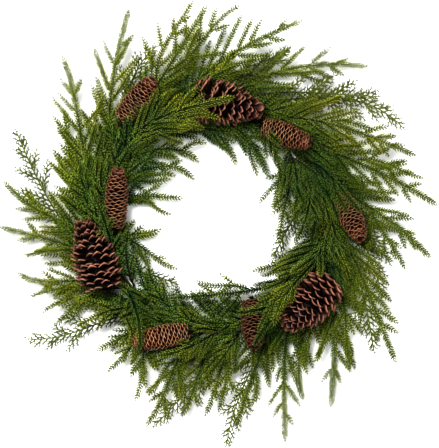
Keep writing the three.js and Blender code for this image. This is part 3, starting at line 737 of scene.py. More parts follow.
def youth_and_light(limb, distances):
    """How new the growth is, with painted light: 0 deep in the wreath, 1 at the tips, and paler in the
    open and on top, painted as lit.
    """
    points = limb.curve.at(np.clip(distances, 0, limb.length))
    out = np.hypot(points[..., 0], points[..., 1])
    fresh = np.clip(1 - (limb.length - distances) / NEW_GROWTH, 0, 1) * limb.freshness
    # Painted light: growth in the open at the outer and inner edge, and growth on top, is painted paler,
    # as lit.
    outer = np.clip((out - OUTER_START) / OUTER_FULL, 0, OUTER_COUNTS)
    inner = np.clip((INNER_START - out) / INNER_FULL, 0, INNER_COUNTS)
    top = np.clip((points[..., 2] - TOP_START) / TOP_FULL, 0, 1) * TOP_COUNTS
    return np.clip(NEW_COUNTS * fresh + np.maximum(np.maximum(outer, inner), top), 0, 1)


def bare_limb(mesh, limb, thinned, sides, flat=1.0):
    """A limb's wood, from its heel where it has one."""
    distances = np.linspace(0, limb.length, max(3, int(limb.length / STEM_STEP) + 1))
    points = limb.curve.at(distances)
    along = limb.curve.along(distances)
    radii = limb.radius(distances) * thinned
    if limb.is_stem:
        points = np.concatenate((limb.heel[None], points))
        along = np.concatenate((unit(points[1] - points[0])[None], along))
        radii = np.concatenate((radii[:1], radii))
        distances = np.concatenate(((0.0,), distances))
    young = youth_and_light(limb, distances)
    tube(mesh, points, along, radii, sides, BARK, flat=flat, young=young, tone=limb.tone)


# The needles stand in whorls, closer together on the limbs that end in the open.
WHORL = 6
WHORL_STEP = 3.8
WHORL_OPEN = 3.5
OPEN_OUT = 255.0
TWIG_BARE = 3.0
PINE_THINNED = 0.7
# A needle is a slim closed blade: its root inside the stem, two corners where it bends, and its tip.
NEEDLE_LONG = 9.7
NEEDLE_WIDE = 1.05
NEEDLE_BEND = 0.5
NEEDLE_STAGES = (0.0, 0.5, 0.5, 1.0)
NEEDLE_TRIANGLES = ((0, 2, 1), (1, 2, 3), (0, 1, 3), (2, 0, 3))
# In a limb's last millimetres they are shorter, thinner and lie closer to it.
TIP_TAPER = 9.0
LONG_TO_TIP = (0.55, 0.45)
WIDE_TO_TIP = (0.8, 0.2)
LEAVES_TO_TIP = (58, -34)
ARRIVES_TO_TIP = (23, -16)
WIDE_WHEN_NEW = 0.2
# What differs at random from needle to needle.
ROW_STRAY = 0.04
TURN_STRAY = 0.09
LEAVES_STRAY = 0.05
ARRIVES_STRAY = 0.07
LONG_DRAW = (0.88, 0.24)
WIDE_DRAW = (0.85, 0.3)
NEEDLE_TONE = 0.3


def pine_needles(mesh, limb, draws):
    """Whorls of needles along the limb, bent towards its tip and shorter at it."""
    start = limb.bare if limb.is_stem else TWIG_BARE
    step = WHORL_OPEN if from_middle(limb.curve.at(limb.length)) > OPEN_OUT else WHORL_STEP
    rows = int((limb.length - start) / step)
    if rows < 2:
        return
    count = rows * WHORL
    place = np.repeat(np.arange(rows), WHORL) + draws.normal(0.5, ROW_STRAY, count)
    distances = np.minimum(start + place * (limb.length - start) / rows, limb.length)
    turns = np.tile(np.arange(WHORL), rows) * math.tau / WHORL + draws.normal(0, TURN_STRAY, count)
    along = limb.curve.along(distances)
    outward = turned(*frames_of(along), turns)
    taper = np.clip((limb.length - distances) / TIP_TAPER, 0, 1)
    # fresh is new growth together with the painted light in the open and on top.
    fresh = youth_and_light(limb, distances)
    long = NEEDLE_LONG * limb.vigour * linear(LONG_TO_TIP, taper)
    long = long * linear(LONG_DRAW, draws.random(count))
    leaves = np.radians(linear(LEAVES_TO_TIP, 1 - taper)) + draws.normal(0, LEAVES_STRAY, count)
    arrives = np.radians(linear(ARRIVES_TO_TIP, 1 - taper)) + draws.normal(0, ARRIVES_STRAY, count)
    root = limb.curve.at(distances)
    bend = root + turned(along, outward, leaves) * (long * NEEDLE_BEND)[:, None]
    tip = bend + turned(along, outward, arrives) * (long * (1 - NEEDLE_BEND))[:, None]
    wide = NEEDLE_WIDE * linear(WIDE_DRAW, draws.random(count)) * linear(WIDE_TO_TIP, taper)
    wide = wide * (1 + WIDE_WHEN_NEW * fresh)
    half = np.cross(along, outward) * (wide / 2)[:, None]
    mesh.add(
        np.stack((root, bend - half, bend + half, tip), axis=1), [], NEEDLE_TRIANGLES, LEAF,
        young=fresh, along=np.broadcast_to(NEEDLE_STAGES, (count, 4)),
        tone=limb.tone * (1 - NEEDLE_TONE) + draws.random(count) * NEEDLE_TONE,
    )


def add_pine(mesh, spray, draws):
    """The limbs of a pine spray or tuft, with their needles."""
    for limb in spray.limbs:
        bare_limb(mesh, limb, PINE_THINNED, 6 if limb.is_stem else 5)
        pine_needles(mesh, limb, draws)


# A cedar spray's branchlets are flat chains of scale leaves.
SCALE_STEP = 1.8
SCALE_WIDE = 1.25
SCALE_NARROW = 0.7
SCALE_THICK = 0.5
CHAIN_TAPER = 4.0
CHAIN_END = 0.45
CEDAR_THINNED = 0.62
CEDAR_FLAT = 0.8
CEDAR_TWIG_BARE = 4.0
BRANCHLET_STEP = 4.2
BRANCHLET_LAST = 2.0
# A branchlet's length by what is left of the limb, the most on a stem and on a twig, and its draw.
BRANCHLET_LONG = (4.0, 0.55)
BRANCHLET_LONGEST = 17.0
BRANCHLET_LONGEST_ON_TWIG = 13.0
BRANCHLET_DRAW = (0.75, 0.4)
BRANCHLET_LEAN = 46.0
LEAN_STRAY = 5
LIFT_STRAY = 0.13
TILT_STRAY = 0.2
BRANCHLET_HOOK = 0.8
# How much newer than the limb it looks, and the share of the limb's tone in its own.
BRANCHLET_NEWER = 0.25
LIMB_TONE_SHARE = 0.4
# The one on the limb's tip starts a little below it. Long ones fork at these places.
END_BELOW = 3.0
END_LONG = 7.0
END_LEAN = 4.0
FORKED_FROM = 7.0
FORKS = (0.28, 0.5, 0.72)
FORK_LONG = (0.62, -0.4)


def scale_chain(mesh, points, along, normal, young, tone):
    """A branchlet: a flat body whose edges step in and out with each pair of scale leaves."""
    rows = len(points) - 1
    side = np.cross(along, normal)
    steps = np.arange(rows)
    taper = np.clip((rows - steps) / CHAIN_TAPER, CHAIN_END, 1)
    half = side[:-1] * (np.where(steps % 2 == 0, SCALE_NARROW, SCALE_WIDE) * taper)[:, None]
    thick = normal[:-1] * (SCALE_THICK * taper)[:, None]
    body = points[:-1]
    corners = np.stack((body + half, body + thick, body - half, body - thick), axis=1).reshape(-1, 3)
    corners = np.concatenate((corners, points[-1:]))
    quads, triangles = tube_faces(rows, 4)
    mesh.add(corners[None], quads, triangles, LEAF, young=np.full((1, len(corners)), young),
             along=np.concatenate((np.repeat(steps % 2, 4), (1,)))[None],
             tone=np.full((1, len(corners)), tone))


def branchlet(mesh, root, frame, long, look, draws, lean=BRANCHLET_LEAN, forks=False):
    """A branchlet that curves out of its parent. A forked one carries shorter ones of its own."""
    parent_along, side, normal = frame
    young, tone = look
    angle = math.radians(lean + draws.normal(0, LEAN_STRAY))
    lift = draws.normal(0, LIFT_STRAY)
    leaving = unit(parent_along * math.cos(angle) + side * math.sin(angle) + normal * lift)
    arriving = unit(leaving + parent_along * BRANCHLET_HOOK + normal * lift)
    count = max(4, int(long / SCALE_STEP))
    steps = np.linspace(0, 1, count)[:, None]
    points = root + leaving * (steps * long) + (arriving - leaving) * (steps ** 2 * long * 0.5)
    along = normalized(leaving * (1 - steps) + arriving * steps)
    tilt = normalized(normal + side * draws.normal(0, TILT_STRAY) - along * (along @ normal)[:, None])
    tilt = normalized(tilt - along * np.sum(tilt * along, axis=1, keepdims=True))
    own_tone = tone * LIMB_TONE_SHARE + draws.random() * (1 - LIMB_TONE_SHARE)
    scale_chain(mesh, points, along, tilt, young, own_tone)
    if forks and long > FORKED_FROM:
        for k, share in enumerate(FORKS):
            i = int(share * (count - 1))
            out = normalized(np.cross(along[i], tilt[i])) * (1 if k % 2 else -1)
            own_long = long * linear(FORK_LONG, share)
            branchlet(mesh, points[i], (along[i], out, tilt[i]), own_long, look, draws)


def cedar_branchlets(mesh, limb, draws):
    """Forked branchlets on alternate sides, and a plain one at the limb's tip."""
    start = limb.bare if limb.is_stem else CEDAR_TWIG_BARE
    longest = BRANCHLET_LONGEST if limb.is_stem else BRANCHLET_LONGEST_ON_TWIG

    def look_at(distance):
        return min(1.0, float(youth_and_light(limb, np.array(distance))) + BRANCHLET_NEWER), limb.tone

    for i, distance in enumerate(np.arange(start, limb.length - BRANCHLET_LAST, BRANCHLET_STEP)):
        along = limb.curve.along(distance)
        side, normal = frame_of(along)
        frame = (along, side * (1 if i % 2 else -1), normal)
        long = min(longest, linear(BRANCHLET_LONG, limb.length - distance))
        long *= linear(BRANCHLET_DRAW, draws.random())
        branchlet(mesh, limb.curve.at(distance), frame, long, look_at(distance), draws, forks=True)
    along = limb.curve.along(limb.length)
    end = limb.curve.at(limb.length - END_BELOW)
    branchlet(mesh, end, (along, *frame_of(along)), END_LONG, look_at(limb.length), draws, lean=END_LEAN)


def add_cedar(mesh, spray, draws):
    """The limbs of a cedar spray, with their branchlets."""
    for limb in spray.limbs:
        bare_limb(mesh, limb, CEDAR_THINNED, 6, flat=CEDAR_FLAT)
        cedar_branchlets(mesh, limb, draws)


# ---- The fuller growth between the limbs of the solids ----
# Its twigs stand this far apart along a limb, and from the solids' twigs: in the body, and in the open.
FILL_STEP = 7.0
FILL_STEP_OPEN = 14.0
FILL_APART = 8.0
FILL_APART_OPEN = 17.0
FILL_FIRST = (8.0, 5)
FILL_LAST = 34.0
FILL_LIMB = 60
# A twig's length by what is left of its limb, or over a cone, and the spans of its random draws.
FILL_SHARE = 0.52
FILL_SHARE_ABOVE = 0.36
FILL_SHORTEST = 15.0
FILL_LONGEST = 64.0
FILL_LONG_DRAW = (0.8, 0.35)
FILL_STEP_DRAW = (0.75, 0.5)
FILL_ANGLE = 0.8
FILL_TURN_STRAY = 6
FILL_LIFT, FILL_LIFT_STRAY, FILL_LIFTS = 0.08, 0.26, 3
# By clock place: how near the wreath's middle the fuller growth comes, and where it thins out.
GROWTH_CLOCK = (0, 60, 110, 170, 195, 205, 240, 250, 275, 300, 330, 360)
GROWTH_INNER = (114, 107, 106, 105, 98, 96, 106, 110, 120, 124, 121, 114)
GROWTH_OUTER = (203, 203, 190, 190, 205, 250, 250, 210, 205, 198, 203, 203)
# Twigs of limbs that end inside that line may come this near instead.
FILL_HOLE = 84.0
FILL_LOW = 7.0
FILL_HIGH = 98.0
BOX_MARGIN = 5.0
# How near, by the cone's reach, a twig is over it and in it. Only a cone's foot may be hidden.
OVER_WIDE = 1.05
OVER_LOW = 0.4
INTO_CONE = 0.95
CONE_SHOWN = 0.22


def meets_cone(points, cones, above):
    """Whether a twig would run into a cone or, unless it is to lie above, over it."""
    for cone in cones:
        share = np.clip((points - cone.base) @ cone.line / (cone.line @ cone.line), 0, 1)
        apart = points - cone.base - share[:, None] * cone.line
        reach = np.interp(share, cone.form.places, cone.form.reach)
        if np.any(np.linalg.norm(apart, axis=1) < reach * INTO_CONE):
            return True
        over = np.hypot(apart[:, 0], apart[:, 1]) < reach * OVER_WIDE
        over &= (apart[:, 2] > -reach * OVER_LOW) & (share > CONE_SHOWN)
        if not above and np.any(over):
            return True
    return False


def growth_at(limits, point):
    """A limit of the fuller growth at a point's clock place."""
    clock = math.degrees(math.atan2(point[0], point[1])) % 360
    return float(np.interp(clock, GROWTH_CLOCK, limits))


def fits(limb, cones, inner=None, above=False):
    """Whether a limb stays off the cones, the floor and the hole, and inside the solids' box."""
    points = limb.curve.at(np.linspace(0, limb.length, 6))
    inner = inner or growth_at(GROWTH_INNER, points[-1])
    level = FILL_LOW < points[1:, 2].min() and points[:, 2].max() < FILL_HIGH
    corner = np.abs(points[-1, :2] + SHIFT[:2]) + BOX_MARGIN
    in_place = from_middle(points[-1]) > inner and level and bool(np.all(corner < HALF_BOX))
    return in_place and not meets_cone(points, cones, above)


def filler_twig(limb, distance, hand, cones, inner, above, draws):
    """A side twig at the first of a few lifts that fits, or none."""
    point = limb.curve.at(distance)
    along = limb.curve.along(distance)
    side, _ = frame_of(along)
    turn = math.radians(limb.form.angle * FILL_ANGLE + draws.normal(0, FILL_TURN_STRAY))
    share = FILL_SHARE_ABOVE if above else FILL_SHARE
    long = np.clip(share * (limb.length - distance), FILL_SHORTEST, FILL_LONGEST)
    long *= linear(FILL_LONG_DRAW, draws.random())
    leaving = along * math.cos(turn) + side * hand * math.sin(turn)
    spot = {"along": along, "point": point, "leaving": leaving}
    for lift in draws.normal(FILL_LIFT, FILL_LIFT_STRAY, FILL_LIFTS):
        twig = Limb(twig_curve(spot, long, lift), limb.form, parent=limb, side=hand)
        if fits(twig, cones, inner, above):
            return twig
    return None


def fill_out(spray, cones, draws, above=False):
    """Adds the side twigs that are too many for the solids."""
    for limb in [limb for limb in spray.limbs if limb.is_stem or limb.length > FILL_LIMB]:
        roots = [twig.curve.at(0.0) for twig in limb.twigs]
        tip = limb.curve.at(limb.length)
        inner = FILL_HOLE if from_middle(tip) < growth_at(GROWTH_INNER, tip) else None
        distance = linear(FILL_FIRST, draws.random())
        hand = 1
        while distance < limb.length - FILL_LAST:
            point = limb.curve.at(distance)
            out = from_middle(point)
            is_open = above or not growth_at(GROWTH_INNER, point) < out < growth_at(GROWTH_OUTER, point)
            apart = FILL_APART_OPEN if is_open else FILL_APART
            near = any(twig.side == hand and np.linalg.norm(root - point) < apart
                       for twig, root in zip(limb.twigs, roots))
            twig = None if near else filler_twig(limb, distance, hand, cones, inner, above, draws)
            if twig:
                spray.limbs.append(twig)
            hand = -hand
            step = FILL_STEP_OPEN if is_open else FILL_STEP
            distance += step * linear(FILL_STEP_DRAW, draws.random())


# ---- Short tufts that cover the ring, and stems that lie over the cones ----
TUFT_STEP = 3.0
TUFT_TRIES = 7
TUFT_LONG = (62.0, 43.0)
# Where tufts are bound round the ring's section, and which way they then leave its line, by turns.
TUFT_SIDES = ((30, -34), (75, -12), (140, 20), (0, -50), (110, 6), (60, -24))
TUFT_RISE, TUFT_RISE_MORE, TUFT_RISE_BEND = 0.12, 0.5, 1.5
TUFT_PLACE_STRAY = 2
TUFT_TURN_STRAY = 7
# Near this clock place tufts turn inwards.
TUFTS_IN = 185.0
TUFTS_IN_REACH = 22
TUFT_TURN_IN = 18.0
# A tuft leaves more steeply than it rises, and turns on towards its tip, more so where it is long.
TUFT_LEAVES = 1.3
TUFT_TURNS_ON = 1.5
TUFT_TURNS_LONG = 0.28

# Stems that lie over the cones: clock place, how they leave the ring, their tip and its heading.
OVER_CONES = (
    (239, (-8, 0.7), (-166, 40, 78), (-28, -0.3)),
    (122, (222, 0.75), (58, -170, 78), (206, -0.35)),
    (232, (150, 1.0), (-101, -177, 78), (190, -0.3)),
    (300, (14, 0.5), (-98, 158, 60), (60, -0.1)),
    (18, (118, 0.6), (92, 106, 64), (128, -0.1)),
    (54, (120, 0.6), (184, 12, 72), (150, -0.1)),
    (50, (112, 0.7), (200, 14, 70), (140, -0.1)),
    (62, (130, 0.7), (172, 2, 66), (160, -0.1)),
    (128, (230, 0.8), (36, -127, 72), (262, -0.3)),
)
ABOVE_SEAT = 90
ABOVE_HUE = 0.12


class Tuft:
    """A leafy stem bound to the ring, with side twigs. It has no limbs where it doesn't fit."""

    def __init__(self, heel, curve, cones, draws, above=False):
        stem = Limb(curve, PINE, heel=heel)
        self.hue = ABOVE_HUE if above else None
        self.limbs = [stem] if above or fits(stem, cones) else []
        fill_out(self, cones, draws, above)


def ring_tuft(place, seat, turn, rise, long, cones, draws):
    heel, root = stem_root(PINE, place, seat)
    leaving = heading(place + 90 + turn, rise * TUFT_LEAVES)
    arriving = heading(place + 90 + turn * TUFT_TURNS_ON + long * TUFT_TURNS_LONG, rise * RISE_AT_TIP)
    tip = root + unit(leaving + arriving) * long
    return Tuft(heel, Sweep.between(root, leaving, tip, arriving), cones, draws)


def ring_tufts(cones, draws):
    """Tufts all round the ring, by turns on its outer, front and inner side."""
    tufts = []
    for i in range(int(360 / TUFT_STEP)):
        seat, turn = TUFT_SIDES[i % len(TUFT_SIDES)]
        turn += TUFT_TURN_IN * (abs(i * TUFT_STEP - TUFTS_IN) < TUFTS_IN_REACH)
        for k in range(TUFT_TRIES):
            long = linear(TUFT_LONG, draws.random())
            more = TUFT_RISE_MORE * draws.random() ** TUFT_RISE_BEND * (1 - k / TUFT_TRIES)
            place = i * TUFT_STEP + draws.normal(0, TUFT_PLACE_STRAY)
            own_turn = turn + draws.normal(0, TUFT_TURN_STRAY)
            tuft = ring_tuft(place, seat, own_turn, TUFT_RISE + more, long, cones, draws)
            if tuft.limbs:
                tufts.append(tuft)
                break
    return tufts


def crossing_stems(cones, draws):
    """The stems that lie across cones, with side twigs of their own."""
    stems = []
    for place, leaving, tip, arriving in OVER_CONES:
        heel, root = stem_root(PINE, place, ABOVE_SEAT)
        curve = Sweep.between(root, heading(*leaving), np.array(tip, dtype=float), heading(*arriving))
        stems.append(Tuft(heel, curve, cones, draws, above=True))
    return stems


# ---- What sets one limb's look apart from the next ----
FRESHNESS = (0.5, 0.5)
FRESHNESS_ABOVE = 0.5
BARE_MOST = 22.0
BARE_PART = 0.3
SPRAY_TONE = 0.6
LIMB_TONE = 0.4
TONE_SPREAD = 1.5
STEM_VIGOUR = 0.92
TWIG_VIGOUR = 0.8
VIGOUR_MORE = 0.14
# In the body, limbs are painted darker, as shaded, by the first tone at the first height, and painted
# paler, as lit, at the second.
BODY_OUT = 215.0
DEPTHS = (22.0, 70.0)
PAINTED_DEPTH_SHADES = (-0.40, 0.22)


def painted_depth_shade(limb):
    """Painted shade: limbs deep in the wreath's body are painted darker than those that lie on top,
    which are painted paler, as lit.
    """
    middle = limb.curve.at(limb.length / 2)
    return 0.0 if from_middle(middle) > BODY_OUT else float(np.interp(middle[2], DEPTHS, PAINTED_DEPTH_SHADES))


def settle_growth(spray, draws):
    """How fresh, bare at its root, pale and vigorous each limb is. Its paleness is a random tone with
    painted shade deep in the body.
    """
    is_above = spray.hue is not None
    tone = spray.hue if is_above else float(draws.random())
    for limb in spray.limbs:
        limb.freshness = linear(FRESHNESS, float(draws.random()))
        if is_above:
            limb.freshness *= FRESHNESS_ABOVE
        limb.bare = min(BARE_MOST, limb.length * BARE_PART)
        mixed = SPRAY_TONE * tone + LIMB_TONE * float(draws.random())
        # Painted shade: limbs deep in the body are darkened and those on top are paled, as by light.
        shade = 0.0 if is_above else painted_depth_shade(limb)
        limb.tone = float(np.clip(0.5 + TONE_SPREAD * (mixed - 0.5) + shade, 0, 1))
        vigour = STEM_VIGOUR if limb.is_stem else TWIG_VIGOUR
        limb.vigour = vigour + VIGOUR_MORE * float(draws.random())


# ---- Cones ----
STALK = 0
SCALE = 1
STALK_RINGS = 9
CORE_RINGS = 14
CORE_SIDES = 10
# The core is this share of the scales' reach at most, and the scales' roots are sunk in it.
CORE_SHARE = 0.5
CORE_THIN = 0.9
SCALE_SUNK = 0.8
# It ends in a small bud past the tip, which gets paler towards its end.
BUD_OUT = 4.0
BUD_END = 2.6
BUD_TAPER = 0.6
BUD_START, BUD_PALES, BUD_PALEST = 0.85, 5, 0.95

# The spiral of scales: its span along the cone, and how much closer it is at the foot.
GOLDEN = math.radians(137.508)
SPIRAL = (0.035, 0.93)
SPIRAL_CROWD = 0.92
REACH_DRAW = (0.92, 0.10)
REACH_AT_FOOT = (0.72, 4.0)
SCALE_CURL = 14.0
SCALE_STEEPEST = 26.0
# A scale's shape, across and along, as shares of its width and of its length.
SCALE_COLUMNS = 5
WIDE_BY_SIZE = (0.4, 0.6)
SCALE_WIDE_DRAW = (0.92, 0.14)
THICK_BY_SIZE = (0.5, 0.5)
SCALE_ROOT_WIDE = 0.42
SCALE_SHOULDER = 0.8
SCALE_LIP_WIDE = 0.86
EDGE_THIN = 0.8
BEAK_FROM = 0.5
BEAK_BEND = 1.2
# How much of a scale's tone is its own. The rest is the cone's.
SCALE_TONE = 0.35


def cone_scale_faces(rows):
    """A scale is two skins of rows and columns, sewn at their edges."""
    columns = SCALE_COLUMNS
    per_skin = rows * columns
    front = grid(rows, columns)
    back = [tuple(corner + per_skin for corner in (a, d, c, b)) for a, b, c, d in front]
    edge = list(range(columns))
    edge += [r * columns + columns - 1 for r in range(1, rows)]
    edge += [(rows - 1) * columns + c for c in range(columns - 2, -1, -1)]
    edge += [r * columns for r in range(rows - 2, 0, -1)]
    seam = [(b, a, a + per_skin, b + per_skin) for a, b in zip(edge, edge[1:] + edge[:1])]
    return front + back + seam


def scale_spines(cone, draws):
    """The middle line of each scale in rows from core to lip, its two directions, and its reach."""
    form = cone.form
    steps = np.arange(form.scales)
    place = linear(SPIRAL, (steps / (form.scales - 1)) ** SPIRAL_CROWD)
    reach = np.interp(place, form.places, form.reach) * linear(REACH_DRAW, draws.random(form.scales))
    reach = np.where(place < form.places[0], reach * linear(REACH_AT_FOOT, place), reach)
    lean = np.interp(place, form.places, form.lean) + draws.normal(0, form.stray, form.scales)
    lean = np.radians(np.maximum(lean, SCALE_STEEPEST))
    outward = turned(*frame_of(cone.axis), steps * GOLDEN)
    core = np.minimum(form.core, reach * CORE_SHARE) * SCALE_SUNK
    center = cone.base + cone.axis * (place * cone.length)[:, None]

    # It leaves the core more openly than it ends.
    u = np.linspace(0, 1, form.rows)
    curl = lean[:, None] + math.radians(SCALE_CURL) * (1 - 2 * u)
    run = np.cumsum(np.sin(curl) * (u > 0), axis=1)
    rise = np.cumsum(np.cos(curl) * (u > 0), axis=1)
    step = ((reach - core) / run[:, -1])[:, None]
    forward = outward[:, None] * np.sin(curl)[..., None] + cone.axis * np.cos(curl)[..., None]
    spine = center[:, None] + outward[:, None] * (core[:, None] + run * step)[..., None]
    spine = spine + cone.axis * (rise * step)[..., None]
    return spine, forward, np.cross(cone.axis, outward), reach


def cone_scales(mesh, cone, shade, draws):
    """Scales that widen to their shoulders, with a thick cupped lip that ends in a blunt beak."""
    form = cone.form
    spine, forward, across, reach = scale_spines(cone, draws)
    face = np.cross(across[:, None], forward)
    size = reach / max(form.reach)
    u = np.linspace(0, 1, form.rows)
    v = np.linspace(-1, 1, SCALE_COLUMNS)
    wide = form.wide * linear(WIDE_BY_SIZE, size) * linear(SCALE_WIDE_DRAW, draws.random(form.scales))
    spread = np.interp(u, (0, SCALE_SHOULDER, 1), (SCALE_ROOT_WIDE, 1.0, SCALE_LIP_WIDE))
    half = wide[:, None] / 2 * spread
    thick = form.thick * linear(THICK_BY_SIZE, size)[:, None] * np.array(form.swell)
    cup = form.cup * half * u
    back = np.clip(u - BEAK_FROM, 0, 1) ** 2 * wide[:, None] * form.beak
    skins = []
    for level in (1, -1):
        height = level * thick[..., None] / 2 * np.sqrt(1 - EDGE_THIN * v ** 2) + cup[..., None] * v ** 2
        skin = (spine[:, :, None] + across[:, None, None] * (half[..., None] * v)[..., None]
                - forward[:, :, None] * (back[..., None] * np.abs(v) ** BEAK_BEND)[..., None]
                + face[:, :, None] * height[..., None])
        skins.append(skin.reshape(form.scales, -1, 3))
    stage = np.tile(np.repeat(u, SCALE_COLUMNS), 2)
    mesh.add(np.concatenate(skins, axis=1), cone_scale_faces(form.rows), [], SCALE,
             along=np.broadcast_to(stage, (form.scales, len(stage))),
             tone=SCALE_TONE * draws.random(form.scales) + (1 - SCALE_TONE) * shade)


def cone_piece(cone, shade, draws):
    """A cone's bound stalk, its core and its scales."""
    mesh = Mesh()
    form = cone.form
    steps = np.linspace(0, 1, STALK_RINGS)
    radii = np.full(STALK_RINGS, form.stalk)
    tube(mesh, cone.stalk.spots(steps), cone.stalk.slopes(steps), radii, CORE_SIDES, STALK, tone=0.5)
    # Painted shade: the core takes the scales' near black root colour, up to the paler bud at its end.
    steps = np.linspace(0.0, 1.0 + BUD_OUT / cone.length, CORE_RINGS)
    core = cone.base + cone.line * steps[:, None]
    radii = np.minimum(form.core, np.interp(steps, form.places, form.reach) * CORE_SHARE) * CORE_THIN
    radii = np.minimum(radii, BUD_END + (steps[-1] - steps) * cone.length * BUD_TAPER)
    tube(mesh, core, np.repeat(cone.axis[None], CORE_RINGS, axis=0), radii, CORE_SIDES, SCALE,
         along=np.clip((steps - BUD_START) * BUD_PALES, 0, BUD_PALEST), tone=0.5)
    cone_scales(mesh, cone, shade, draws)
    return mesh


# ---- Ring ----
TAPE_TURNS = 150
TAPE_STEPS = 3
TAPE_RIDGE = 0.35
RING_AROUND = 16
RING_ROUND = 0.965
# What lies lower than this on the section, by its sine, is drawn down to the floor at a knot.
KNOT_SINE = -0.7


def ring_piece():
    """The wound ring: a round section with the ridges of its tape, and knots that stand on the floor."""
    mesh = Mesh()
    steps = TAPE_TURNS * TAPE_STEPS
    places = np.arange(steps) * 360.0 / steps
    turns = np.arange(RING_AROUND) * math.tau / RING_AROUND
    phase = (np.arange(steps)[:, None] / TAPE_STEPS + turns[None] / math.tau) % 1.0
    radius = RING_CORNER * RING_ROUND - TAPE_RIDGE + TAPE_RIDGE * phase
    out = radius * np.cos(turns)[None]
    up = radius * np.sin(turns)[None]
    low = (np.sin(turns) < KNOT_SINE)[None]
    for knot in KNOT_PLACES:
        near = np.abs((places - knot + 180) % 360 - 180)
        foot = np.clip((2 * RING_HALF_STEP - near) / RING_HALF_STEP, 0, 1)[:, None]
        up = np.where(low, up * (1 - foot) + foot * -RING_HEIGHT, up)
        low_out = np.clip(out, -KNOT_WIDE / 2, KNOT_WIDE / 2)
        out = np.where(low, out * (1 - foot) + foot * low_out, out)
    angles = np.radians(places)[:, None]
    radius = RING_RADIUS + out
    corners = np.stack((np.sin(angles) * radius, np.cos(angles) * radius, RING_HEIGHT + up), axis=-1)
    quads = grid(steps, RING_AROUND, rows_close=True, columns_close=True)
    mesh.add(corners.reshape(1, -1, 3), quads, [], 0, along=phase.reshape(1, -1), tone=0.5)
    return mesh


# ---- Materials ----
class Paint:
    """A Principled material under construction."""

    def __init__(self, name, roughness, **sockets):
        self.material = bpy.data.materials.new(name)
        self.material.use_nodes = True
        self.nodes = self.material.node_tree.nodes
        self.links = self.material.node_tree.links
        self.shader = self.nodes["Principled BSDF"]
        self.shader.inputs["Roughness"].default_value = roughness
        for socket, value in sockets.items():
            self.shader.inputs[socket.replace("_", " ")].default_value = value

    def node(self, kind, **settings):
        node = self.nodes.new(kind)
        for key, value in settings.items():
            if key in node.inputs:
                node.inputs[key].default_value = value
            else:
                setattr(node, key, value)
        return node

    def number(self, name):
        """One of the numbers on a mesh's corners."""
        return self.node("ShaderNodeAttribute", attribute_name=name).outputs["Fac"]

    def noise(self, scale, detail=3.0):
        place = self.node("ShaderNodeTexCoord").outputs["Object"]
        noise = self.node("ShaderNodeTexNoise", Scale=scale, Detail=detail)
        self.links.new(place, noise.inputs["Vector"])
        return noise.outputs["Fac"]

    def ramp(self, value, *stops):
        """Colours by value. A stop is its place and its red, green and blue."""
        ramp = self.node("ShaderNodeValToRGB")
        elements = ramp.color_ramp.elements
        elements[0].position, elements[0].color = stops[0][0], (*stops[0][1], 1)
        elements[1].position, elements[1].color = stops[-1][0], (*stops[-1][1], 1)
        for place, color in stops[1:-1]:
            elements.new(place).color = (*color, 1)
        self.links.new(value, ramp.inputs["Fac"])
        return ramp.outputs["Color"]

    def blend(self, share, low, high, kind="MIX"):
        """A colour between two, or multiplied by the second, each a socket, a colour or a number."""
        node = self.node("ShaderNodeMix", data_type="RGBA", blend_type=kind)
        for key, value in (("Factor", share), ("A", low), ("B", high)):
            if isinstance(value, bpy.types.NodeSocket):
                self.links.new(value, node.inputs[key])
            else:
                node.inputs[key].default_value = (*value, 1) if isinstance(value, tuple) else value
        return [output for output in node.outputs if output.type == "RGBA"][0]

    def tinted(self, color, tint, share=1.0):
        return self.blend(share, color, tint, "MULTIPLY")

    def color(self, value):
        self.links.new(value, self.shader.inputs["Base Color"])

    def rough(self, noise_scale, least, most):
        """Roughness that changes with a fine noise."""
        node = self.node("ShaderNodeMapRange")
        self.links.new(self.noise(noise_scale), node.inputs["Value"])
        for key, number in (("From Min", 0.3), ("From Max", 0.7), ("To Min", least), ("To Max", most)):
            node.inputs[key].default_value = number
        self.links.new(node.outputs["Result"], self.shader.inputs["Roughness"])

    def bump(self, height, strength, distance):
        node = self.node("ShaderNodeBump", Strength=strength, Distance=distance)
        self.links.new(height, node.inputs["Height"])
        self.links.new(node.outputs["Normal"], self.shader.inputs["Normal"])


def needle_green():
    """Moulded needles: near black at their roots, a painted shade between the needles; deep green near
    the ring; yellow-green on new growth and where painted as lit in the open and on top; pale at the
    needles' tips, partly their own colour and partly a painted highlight.
    """
    paint = Paint("needle_green", 0.6, Specular_IOR_Level=0.14)
    # Painted shade near black at each needle's root, up to a pale tip that is partly a painted
    # highlight.
    old = paint.ramp(paint.number("along"), (0.0, (0.001, 0.003, 0.001)), (0.48, (0.006, 0.016, 0.004)),
                     (0.68, (0.096, 0.150, 0.044)), (1.0, (0.395, 0.550, 0.185)))
    new = paint.ramp(paint.number("along"), (0.0, (0.003, 0.006, 0.001)), (0.48, (0.030, 0.042, 0.004)),
                     (0.68, (0.240, 0.270, 0.042)), (1.0, (0.690, 0.730, 0.140)))
    # The tone holds a random tone and the painted shade of limbs deep in the body.
    old = paint.tinted(old, paint.blend(paint.number("tone"), (0.14, 0.50, 0.54), (1.34, 1.18, 0.88)))
    new = paint.tinted(new, paint.blend(paint.number("tone"), (0.80, 0.88, 0.62), (1.05, 0.97, 0.80)))
    color = paint.blend(paint.number("young"), old, new)
    patches = paint.ramp(paint.noise(22.0, 2.0), (0.35, (0.75, 0.84, 0.90)), (0.65, (1.18, 1.12, 0.95)))
    paint.color(paint.tinted(color, patches))
    paint.rough(420.0, 0.42, 0.62)
    paint.bump(paint.noise(900.0, 2.0), 0.25, 0.0004)
    return paint.material


